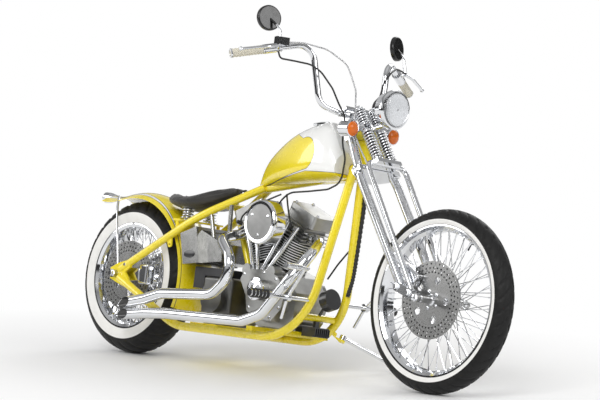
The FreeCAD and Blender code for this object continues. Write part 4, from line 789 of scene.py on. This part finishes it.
def fork_trim():
    """Pivot bolts, axle nuts, stem nut and leg collars."""
    shape = Shape()
    pivot = HEAD + STEER_UP * -609 + STEER_AHEAD * 32
    pin = pivot + (FRONT - pivot) * 0.56
    for side in (-1, 1):
        for centre in (pivot, pin):
            base = PV(centre) + ACROSS * side * 0.129
            shape.bolt(base, ACROSS * side, 0.010, 0.009)
        shape.lathe(PV(FRONT) + ACROSS * side * 0.143, ACROSS * side,
                    [(0.0155, 0), (0.0155, 0.004), (0.012, 0.009), (0.004, 0.012)], 6)
        for along in (-72, -92):
            shape.ring(fork_point(along, 28.5, side * 99), STEER_ROW,
                       [(0.0178, -0.004), (0.0198, -0.003), (0.0198, 0.003), (0.0178, 0.004)], 40)
    shape.lathe(fork_point(94, 0, 0), STEER_ROW, [(0.021, 0), (0.021, 0.006), (0.018, 0.008),
                (0.016, 0.016), (0.010, 0.019)], 6)
    shape.make("fork_bolts", MAT["chrome"], STEERING, "chrome")


# ------------------------------------------------------------------ lights
def headlight_parts():
    """Bezel, glass and reflector."""
    ahead = turned((1, 0, 0))
    face = P(1376, 0, 1060)
    bezel = Shape()
    bezel.ring(face - ahead * 0.004, ahead,
               [(0.0665, -0.006), (0.0768, -0.010), (0.0775, -0.004), (0.0745, 0.002),
                (0.0690, 0.003), (0.0665, 0.000)], 72)
    bezel.make("headlight_bezel", MAT["chrome"], STEERING, "headlight_body")
    bowl = Shape()
    bowl.lathe(face - ahead * 0.0022, -ahead, [(0.0668, 0), (0.060, 0.0004), (0.045, 0.0008),
                                               (0.0, 0.0010)], 64)
    mirror = bowl.make("headlight_reflector", MAT["reflector"], STEERING, "headlight_body")
    glass = Shape()
    glass.lathe(face - ahead * 0.002, ahead, dome(0.0672, 0.010, 8), 64)
    glass.make("headlight_glass", MAT["glass"], STEERING, "headlight_body", 60)


def signal_parts():
    """Amber lenses with chrome rims."""
    ahead = turned((1, 0, 0))
    lens_shape, rim = Shape(), Shape()
    for side in (-113, 113):
        face = P(1264, side, 968)
        rim.ring(face, ahead, [(0.0285, -0.006), (0.0325, -0.006), (0.0325, 0.001),
                               (0.0285, 0.002)], 48)
        lens_shape.lathe(face + ahead * 0.0003, ahead, dome(0.029, 0.013, 7), 40)
    rim.make("signal_rims", MAT["chrome"], STEERING, "signal_body")
    lens_shape.make("signal_lenses", MAT["amber"], STEERING, "signal_body", 60)


def tail_lens():
    low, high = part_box("tail_light")
    back = turned((-1, 0, 0))
    tip = Vector((low[0], (low[1] + high[1]) / 2, (low[2] + high[2]) / 2))
    shape = Shape()
    shape.lathe(tip + Vector((0.0145, 0, 0)), back, dome(0.0212, 0.009, 7), 40)
    shape.make("tail_lens", MAT["red"], FRAME, "tail_light_body", 60)


def mirror_faces():
    for side, name in ((-1, "right"), (1, "left")):
        facing = turned(Vector((-0.94, 0.30 * -side, -0.12)).normalized())
        centre = P(977, side * 356, 1356)
        shape = Shape()
        shape.lathe(centre, facing, [(0.0445, 0.0004), (0.0440, 0.0012), (0.0, 0.0022)], 56)
        shape.make(name + "_mirror_face", MAT["mirror"], STEERING, "black_metal", 60)


# ------------------------------------------------------------------- engine
def tilted(side, distance, along=0.0, y=0.0):
    angle = math.radians(22.5) * side
    out = Vector((math.sin(angle), 0, math.cos(angle)))
    forward = Vector((math.cos(angle), 0, -math.sin(angle)))
    return PV(CRANK + out * distance + forward * along + Vector((0, y, 0)))


def engine_trim():
    """Timing cover, rocker-box bolts, spark plugs and their leads."""
    shape = Shape()
    right = -ACROSS
    nose = P(882, -154, 318)
    shape.lathe(nose, right, [(0.044, 0), (0.046, 0.003), (0.045, 0.008), (0.036, 0.011),
                              (0.034, 0.009), (0.018, 0.010), (0.012, 0.013), (0.0, 0.014)], 56)
    for index in range(6):
        angle = 2 * math.pi * index / 6 + 0.3
        shape.bolt(P(882 + 39 * math.cos(angle), -161, 318 + 39 * math.sin(angle)), right,
                   0.0030, 0.004)
    for x, z in ((815, 244), (856, 212), (942, 212), (988, 254), (998, 314), (954, 364),
                 (880, 386), (768, 374)):
        shape.bolt(P(x, -122, z), right, 0.0042, 0.005)
    for side in (-1, 1):
        axis = (tilted(side, 10) - tilted(side, 0)).normalized()
        for along in (-52, 52):
            for y in (-46, 46):
                shape.bolt(tilted(side, 396, along * 1.35 + side * 16, y), axis, 0.0055, 0.006)
    shape.make("engine_bolts", MAT["chrome"], FRAME, "chrome")
    plugs, leads = Shape(), Shape()
    for side in (-1, 1):
        base = tilted(side, 306, 18 * side, -70)
        out = turned((0.35 * side, -0.9, 0.25))
        plugs.lathe(base, out, [(0.0085, 0), (0.0085, 0.008), (0.006, 0.009), (0.0055, 0.030),
                                (0.0035, 0.034)], 6)
        tip = base + out * 0.030
        mid = tip + out * 0.035 + Vector((0, 0, 0.03))
        end = P(CRANK.x + 16 * side, -24, 706)
        path = [tip.lerp(mid, t).lerp(mid.lerp(end, t), t) for t in [k / 16 for k in range(17)]]
        leads.tube(path, 0.0035, 10)
        leads.tube([tip, tip + out * 0.022], 0.0075, 12)
    plugs.make("spark_plugs", MAT["steel"], FRAME, "steel")
    leads.make("plug_leads", MAT["rubber"], FRAME, "cable_rubber")


def air_cleaner_trim():
    """Rolled rim, brushed centre plate and screws of the air cleaner."""
    centre = P(903, -200, 578)
    out = -ACROSS
    rim = Shape()
    rim.ring(centre, out, [(0.068, -0.002), (0.084, -0.006), (0.086, 0.0), (0.081, 0.0045),
                           (0.071, 0.0035)], 72)
    for index in range(3):
        angle = 2 * math.pi * index / 3 + 0.5
        rim.bolt(P(903 + 52 * math.cos(angle), -202, 578 + 52 * math.sin(angle)), out, 0.004,
                 0.004)
    rim.make("air_cleaner_rim", MAT["chrome"], FRAME, "chrome")
    plate = Shape()
    plate.lathe(centre, out, [(0.0700, 0.0), (0.0695, 0.0022), (0.020, 0.0030), (0.0, 0.0032)], 64)
    plate.make("air_cleaner_plate", MAT["cover_grey"], FRAME, "chrome")


def exhaust_mouths():
    """Sooty linings of the two pipe ends."""
    shape = Shape()
    for tail, before in ((Vector((80, -207, 150)), Vector((300, -207, 172))),
                         (Vector((80, -207, 189)), Vector((285, -207, 230)))):
        way = (before - tail).normalized()
        cut = Vector((math.cos(math.radians(70)), math.sin(math.radians(70)), 0))
        up = Vector((-way.z, 0, way.x))
        across = Vector((0, 1, 0))
        centre = Vector((150, -207, tail.z + 70 * way.z / way.x))
        base = len(shape.verts)
        steps = 40
        for reach in (0.004, 0.125):
            for j in range(steps):
                angle = 2 * math.pi * j / steps
                ray = (up * math.cos(angle) + across * math.sin(angle)) * 19.6
                start = centre + ray
                slide = -ray.dot(cut) / way.dot(cut)
                point = start + way * (slide + reach * 1000) if reach < 0.1 else \
                    tail + way * 186 + ray
                shape.verts.append(PV(point))
        shape._ring_faces(base, 2, steps, False, 0)
        shape.faces.append(tuple(base + steps + j for j in range(steps)))
        shape.marks.append(0)
    shape.make("pipe_linings", MAT["soot"], FRAME, "black_metal", 30)


def chain_links():
    """A roller chain: plates and rollers round both sprockets."""
    gap = Vector((592, 0, 292)) - REAR
    slope = math.atan2(gap.z, gap.x)
    big, small = 106.0, 50.0
    turn = math.acos((big - small) / gap.length)
    path = []

    def arc(centre, radius, start, stop, steps):
        for k in range(steps):
            a = start + (stop - start) * k / steps
            path.append(Vector((centre.x + radius * math.cos(a), 0, centre.z + radius * math.sin(a))))

    main = REAR + gap
    arc(REAR, big, slope + turn, slope + 2 * math.pi - turn, 60)
    low_start = Vector((REAR.x + big * math.cos(slope - turn), 0, REAR.z + big * math.sin(slope - turn)))
    path.append(low_start)
    arc(main, small, slope - turn, slope + turn, 30)
    path.append(Vector((main.x + small * math.cos(slope + turn), 0, main.z + small * math.sin(slope + turn))))
    lengths = [0.0]
    closed = path + [path[0]]
    for a, b in zip(closed, closed[1:]):
        lengths.append(lengths[-1] + (b - a).length)
    total = lengths[-1]
    count = 2 * round(total / 15.875 / 2)

    def at(distance):
        distance %= total
        for index in range(len(lengths) - 1):
            if lengths[index + 1] >= distance:
                share = (distance - lengths[index]) / max(lengths[index + 1] - lengths[index], 1e-6)
                return closed[index].lerp(closed[index + 1], share)
        return closed[-1]

    shape = Shape()
    for index in range(count):
        a = at(total * index / count)
        b = at(total * (index + 1) / count)
        offset = 5.2 if index % 2 else 3.6
        shape.tube([P(a.x, 103 - 6.5, a.z), P(a.x, 103 + 6.5, a.z)], 0.0042, 10)
        along = turned(b - a)
        up = along.cross(ACROSS)
        for side in (-1, 1):
            centre = P((a.x + b.x) / 2, 103 + side * offset, (a.z + b.z) / 2)
            half = (b - a).length / 2000 + 0.0052
            shape.block(centre, along * half, ACROSS * 0.0007, up * 0.0058)
    piece = shape.make("roller_chain", MAT["steel"], FRAME, "steel", 35)
    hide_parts("drive_chain")


# --------------------------------------------------------------------- seat
def seat_pad():
    """The leather pad: remeshed from its CAD form, then filled by cloth pressure."""
    source = NODES["seat"]
    mesh = source.data.copy()
    pad = bpy.data.objects.new("seat_pad", mesh)
    bpy.context.scene.collection.objects.link(pad)
    centre = sum((v.co for v in mesh.vertices), Vector()) / len(mesh.vertices)
    for vertex in mesh.vertices:
        vertex.co = centre + (vertex.co - centre) * 0.985
    apply_modifier(pad, "REMESH", mode="VOXEL", voxel_size=0.005)
    inflate(pad)
    smooth = pad.modifiers.new("smooth", "SMOOTH")
    smooth.iterations = 3
    subdivision = pad.modifiers.new("fine", "SUBSURF")
    subdivision.levels = 1
    subdivision.render_levels = 1
    pad.data.materials.clear()
    pad.data.materials.append(MAT["leather"])
    pad.data.polygons.foreach_set("use_smooth", [True] * len(pad.data.polygons))
    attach(pad, FRAME)
    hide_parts("seat")
    return pad


def apply_modifier(obj, kind, **values):
    modifier = obj.modifiers.new(kind.lower(), kind)
    for key, value in values.items():
        setattr(modifier, key, value)
    freeze(obj)


def freeze(obj):
    """Replaces the mesh by what its modifiers make of it now."""
    depsgraph = bpy.context.evaluated_depsgraph_get()
    made = bpy.data.meshes.new_from_object(obj.evaluated_get(depsgraph))
    obj.modifiers.clear()
    obj.data = made


def inflate(obj, cap=0.006, frames=20):
    """A short cloth run with pressure; no point moves further than the cap."""
    rest = [v.co.copy() for v in obj.data.vertices]
    cloth = obj.modifiers.new("cloth", "CLOTH")
    cloth.settings.use_pressure = True
    cloth.settings.uniform_pressure_force = 4.0
    cloth.settings.effector_weights.gravity = 0.0
    cloth.settings.quality = 4
    cloth.collision_settings.use_self_collision = False
    scene = bpy.context.scene
    for number in range(1, frames + 1):
        scene.frame_set(number)
    freeze(obj)
    scene.frame_set(1)
    for vertex, before in zip(obj.data.vertices, rest):
        move = vertex.co - before
        if move.length > cap:
            vertex.co = before + move.normalized() * cap


def seat_trim():
    """Wound seat springs and the pan's studs."""
    springs = Shape()
    for side in (-62, 62):
        base = P(318, side, 573)
        top = P(318, side, 628)
        length = (top - base).length
        coil = []
        turns = 5
        for index in range(turns * 24 + 1):
            share = index / (turns * 24)
            angle = 2 * math.pi * turns * share
            radius = 0.030 - 0.010 * math.sin(math.pi * share)
            ray = turned((math.cos(angle), math.sin(angle), 0))
            coil.append(base + (top - base) * share + ray * radius)
        springs.tube(coil, 0.0035, 10)
        springs.lathe(base, top - base, [(0.016, 0), (0.016, 0.003), (0.006, 0.004),
                                         (0.006, length)], 24)
    springs.block(P(594, 0, 700), turned((1, 0, 0.0)) * 0.045, ACROSS * 0.013,
                  turned((0, 0, 1)) * 0.004)
    springs.bolt(P(628, 0, 704), turned((0, 0, 1)), 0.006, 0.006)
    piece = springs.make("wound_seat_springs", MAT["chrome"], FRAME, "chrome", 45)
    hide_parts("seat_springs")


# ------------------------------------------------------------------ details
def tank_trim():
    """Filler caps on the tank."""
    shape = Shape()
    for x, y, z in ((1010, -34, 988), (1010, 34, 988)):
        up = turned((-0.12, y / 170, 1))
        shape.lathe(P(x, y, z), up, [(0.031, 0.0), (0.033, 0.002), (0.033, 0.007), (0.028, 0.010),
                                     (0.0, 0.012)], 56)
    shape.make("filler_caps", MAT["chrome"], FRAME, "chrome")


def frame_trim():
    """Axle nuts, mounting bolts and the wiring sheath by the down tube."""
    bolts = Shape()
    for side in (-1, 1):
        out = ACROSS * side
        bolts.bolt(PV(REAR) + out * 0.1595, out, 0.0125, 0.012)
        bolts.bolt(P(62, side * 144, 362), out, 0.0075, 0.008)
    for x in (1000, 1020):
        for side in (-1, 1):
            bolts.bolt(P(x, side * 50, 172.5), turned((0, 0, 1)), 0.006, 0.006)
    bolts.make("frame_bolts", MAT["chrome"], FRAME, "chrome")
    sheath = Shape()
    route = [(1196, 36, 800), (1192, 62, 700), (1176, 76, 590), (1162, 86, 480), (1150, 92, 400),
             (1138, 88, 330)]
    points = smooth_path([P(x + 22, y - 12, z) for x, y, z in route], 90)
    radii = [0.0085 + 0.0016 * math.sin(2.1 * k) for k in range(len(points))]
    sheath.tube(points, radii, 14)
    sheath.make("wiring_sheath", MAT["rubber"], FRAME, "cable_rubber")


def smooth_path(points, steps):
    """A Catmull-Rom curve through the points."""
    out = []
    padded = [points[0] * 2 - points[1]] + list(points) + [points[-1] * 2 - points[-2]]
    spans = len(points) - 1
    for index in range(steps + 1):
        at = spans * index / steps
        k = min(int(at), spans - 1)
        t = at - k
        a, b, c, d = padded[k:k + 4]
        out.append(0.5 * ((2 * b) + (c - a) * t + (2 * a - 5 * b + 4 * c - d) * t * t
                          + (3 * b - a - 3 * c + d) * t ** 3))
    return out


def peg_trim():
    """Rubber rings on the pegs."""
    rings = Shape()
    for side in (-1, 1):
        start = P(1122, side * 312, 297)
        end = P(1112, side * 396, 297)
        axis = (end - start).normalized()
        for index in range(5):
            rings.ring(start + (end - start) * (index + 0.5) / 5, axis,
                       [(0.0148, -0.006), (0.0185, -0.004), (0.0185, 0.004), (0.0148, 0.006)], 36)
    rings.make("peg_rubbers", MAT["rubber"], FRAME, "cable_rubber")


def grip_trim():
    """Ribs and chrome collars on the grips."""
    chrome_parts, ribs = Shape(), Shape()
    way = Vector((949 - 1088, -490 + 212, 1197 - 1282)).normalized()
    end = Vector((949, -490, 1197))
    for side in (-1, 1):
        axis = turned(Vector((way.x, way.y * -side, way.z)))
        for index in range(9):
            centre = end - way * (14 + index * 12.5)
            ribs.ring(P(centre.x, centre.y * -side, centre.z), axis,
                      [(0.0164, -0.0035), (0.0176, -0.002), (0.0176, 0.002), (0.0164, 0.0035)], 32)
        for reach in (-8, 122):
            centre = end - way * reach
            chrome_parts.ring(P(centre.x, centre.y * -side, centre.z), axis,
                              [(0.0128, -0.003), (0.0186, -0.003), (0.0186, 0.003),
                               (0.0128, 0.003)], 36)
    ribs.make("grip_ribs", MAT["ivory"], STEERING, "grip_rubber")
    chrome_parts.make("grip_collars", MAT["chrome"], STEERING, "chrome")


def oil_tank_trim():
    """A plain dark oval on the tank's side."""
    shape = Shape()
    base = len(shape.verts)
    out = -ACROSS
    centre = P(432, -128.4, 432)
    rows = 40
    for reach, lift in ((1.0, 0.0), (1.0, 0.0012), (0.9, 0.0018), (0.0, 0.0022)):
        for j in range(rows):
            a = 2 * math.pi * j / rows
            shape.verts.append(centre + turned((1, 0, 0.10)) * 0.032 * math.cos(a) * reach
                               + turned((-0.10, 0, 1)) * 0.016 * math.sin(a) * reach + out * lift)
    shape._ring_faces(base, 4, rows, False, 0)
    shape.make("plain_oval", MAT["black"], FRAME, "black_metal")


def reflector_material():
    paint = Paint("reflector", (0.55, 0.57, 0.58), 1.0, 0.22)
    x, y, z = paint.upright()
    paint.bump(paint.math("SINE", paint.math("MULTIPLY", y, 700.0)), 0.3, 0.001)
    paint.rough(paint.noise(30, 3), 0.12, 0.3)
    return paint.material


MAT["reflector"] = reflector_material()
MAT["soot"] = dark_enamel("soot", (0.006, 0.006, 0.006)).material
MAT["cover_grey"] = alloy("satin_cover", (0.30, 0.30, 0.295), 0.3, 0.42, 400, 0.05).material


# ------------------------------------------------------------------- studio
def studio():
    """Pale floor, white surroundings, soft lamps and the camera."""
    scene = bpy.context.scene
    scene.view_settings.view_transform = "Standard"
    floor_mesh = bpy.data.meshes.new("floor")
    reach = 30.0
    floor_mesh.from_pydata([(-reach, -reach, 0), (reach, -reach, 0), (reach, reach, 0),
                            (-reach, reach, 0)], [], [(0, 1, 2, 3)])
    floor = bpy.data.objects.new("floor", floor_mesh)
    scene.collection.objects.link(floor)
    paint = Paint("floor_white", (0.93, 0.93, 0.93), 0.0, 0.6)
    paint.rough(paint.noise(3, 2), 0.55, 0.65)
    fade_floor(paint)
    floor_mesh.materials.append(paint.material)
    world = bpy.data.worlds.new("studio")
    scene.world = world
    world.use_nodes = True
    tree = world.node_tree
    tree.nodes.clear()
    output = tree.nodes.new("ShaderNodeOutputWorld")
    soft = tree.nodes.new("ShaderNodeBackground")
    reflected_room(tree, soft)
    soft.inputs["Strength"].default_value = 0.62
    clear = tree.nodes.new("ShaderNodeBackground")
    clear.inputs["Color"].default_value = (1, 1, 1, 1)
    clear.inputs["Strength"].default_value = 1.0
    path = tree.nodes.new("ShaderNodeLightPath")
    mix = tree.nodes.new("ShaderNodeMixShader")
    most = tree.nodes.new("ShaderNodeMath")
    most.operation = "MAXIMUM"
    tree.links.new(path.outputs["Is Camera Ray"], most.inputs[0])
    tree.links.new(path.outputs["Is Transmission Ray"], most.inputs[1])
    tree.links.new(most.outputs[0], mix.inputs[0])
    tree.links.new(soft.outputs[0], mix.inputs[1])
    tree.links.new(clear.outputs[0], mix.inputs[2])
    tree.links.new(mix.outputs[0], output.inputs[0])
    area("key", (3.0, -5.0, 4.8), (0, 0, 0.5), 3.2, 230)
    area("fill", (-4.5, -4.0, 3.0), (0, 0, 0.5), 3.0, 90)
    area("back", (-1.5, 5.0, 4.0), (0, 0, 0.5), 3.5, 120)
    area("front", (6.0, 1.0, 3.0), (0.5, 0, 0.5), 2.0, 70)
    dark_card((6.5, -1.2, 1.2), (0.0, 0.0, 0.7), 1.2, 3.0)
    dark_card((0.0, -7.5, 1.0), (0.0, 0.0, 0.6), 5.0, 0.5)
    camera_data = bpy.data.cameras.new("camera")
    camera = bpy.data.objects.new("camera", camera_data)
    scene.collection.objects.link(camera)
    camera_data.lens = 151.74
    camera_data.sensor_width = 36.0
    ground = SHIFT + LEAN @ Vector((0, 0, 0))
    place = Vector((8.151, -6.773, 1.308)) + Vector((ground.x, ground.y, 0))
    target = Vector((1.0283, 0, 0.6908)) + Vector((ground.x, ground.y, 0))
    camera.location = place
    camera.rotation_euler = (target - place).to_track_quat("-Z", "Y").to_euler()
    camera_data.clip_end = 100
    scene.camera = camera


def fade_floor(paint):
    """Keeps the shadow under the machine and turns the far floor into plain white."""
    split = paint.node("ShaderNodeSeparateXYZ")
    paint.link(paint.place, split.inputs[0])
    x = paint.math("MULTIPLY", split.outputs[0], 0.62)
    y = split.outputs[1]
    far = paint.length(x, y)
    path = paint.node("ShaderNodeLightPath")
    seen = paint.math("MAXIMUM", path.outputs["Is Camera Ray"], path.outputs["Is Glossy Ray"])
    seen = paint.math("MAXIMUM", seen, path.outputs["Is Transmission Ray"])
    share = paint.math("MULTIPLY", paint.spread(far, 0.55, 1.7), seen)
    plain = paint.node("ShaderNodeEmission")
    plain.inputs["Color"].default_value = (1, 1, 1, 1)
    plain.inputs["Strength"].default_value = 1.0
    mix = paint.node("ShaderNodeMixShader")
    output = paint.tree.nodes["Material Output"]
    paint.link(share, mix.inputs[0])
    paint.link(paint.shader.outputs[0], mix.inputs[1])
    paint.link(plain.outputs[0], mix.inputs[2])
    paint.link(mix.outputs[0], output.inputs["Surface"])


def reflected_room(tree, shader):
    """Bright above, dark at eye level: the room that lights and is mirrored in the metal."""
    place = tree.nodes.new("ShaderNodeTexCoord")
    split = tree.nodes.new("ShaderNodeSeparateXYZ")
    ramp = tree.nodes.new("ShaderNodeValToRGB")
    tree.links.new(place.outputs["Generated"], split.inputs[0])
    half = tree.nodes.new("ShaderNodeMath")
    half.operation = "MULTIPLY_ADD"
    half.inputs[1].default_value = 0.5
    half.inputs[2].default_value = 0.5
    tree.links.new(split.outputs[2], half.inputs[0])
    tree.links.new(half.outputs[0], ramp.inputs[0])
    bands = ((0.0, 0.45), (0.47, 0.30), (0.50, 0.05), (0.56, 0.08), (0.60, 0.85), (0.72, 1.0),
             (0.80, 0.35), (1.0, 1.0))
    stops = ramp.color_ramp.elements
    while len(stops) < len(bands):
        stops.new(0.5)
    for stop, (at, level) in zip(stops, bands):
        stop.position = at
        stop.color = (level, level, level, 1)
    tree.links.new(ramp.outputs[0], shader.inputs["Color"])


def area(name, place, target, extent, power):
    data = bpy.data.lights.new(name, "AREA")
    data.shape = "SQUARE"
    data.size = extent
    data.energy = power
    lamp = bpy.data.objects.new(name, data)
    bpy.context.scene.collection.objects.link(lamp)
    lamp.location = place
    lamp.rotation_euler = (Vector(target) - Vector(place)).to_track_quat("-Z", "Y").to_euler()


def dark_card(place, target, width, height):
    """A grey board out of view that gives bright metal its dark streaks."""
    mesh = bpy.data.meshes.new("card")
    w, h = width / 2, height / 2
    mesh.from_pydata([(-w, -h, 0), (w, -h, 0), (w, h, 0), (-w, h, 0)], [], [(0, 1, 2, 3)])
    card = bpy.data.objects.new("card", mesh)
    bpy.context.scene.collection.objects.link(card)
    card.location = place
    card.rotation_euler = (Vector(target) - Vector(place)).to_track_quat("-Z", "Y").to_euler()
    mesh.materials.append(Paint("card_grey", (0.04, 0.04, 0.04), 0, 0.9).material)
    card.visible_camera = False


dress_cad()
wheels()
fork_coils()
fork_trim()
headlight_parts()
signal_parts()
tail_lens()
mirror_faces()
engine_trim()
air_cleaner_trim()
chain_links()
exhaust_mouths()
seat_pad()
seat_trim()
tank_trim()
frame_trim()
peg_trim()
grip_trim()
oil_tank_trim()
studio()
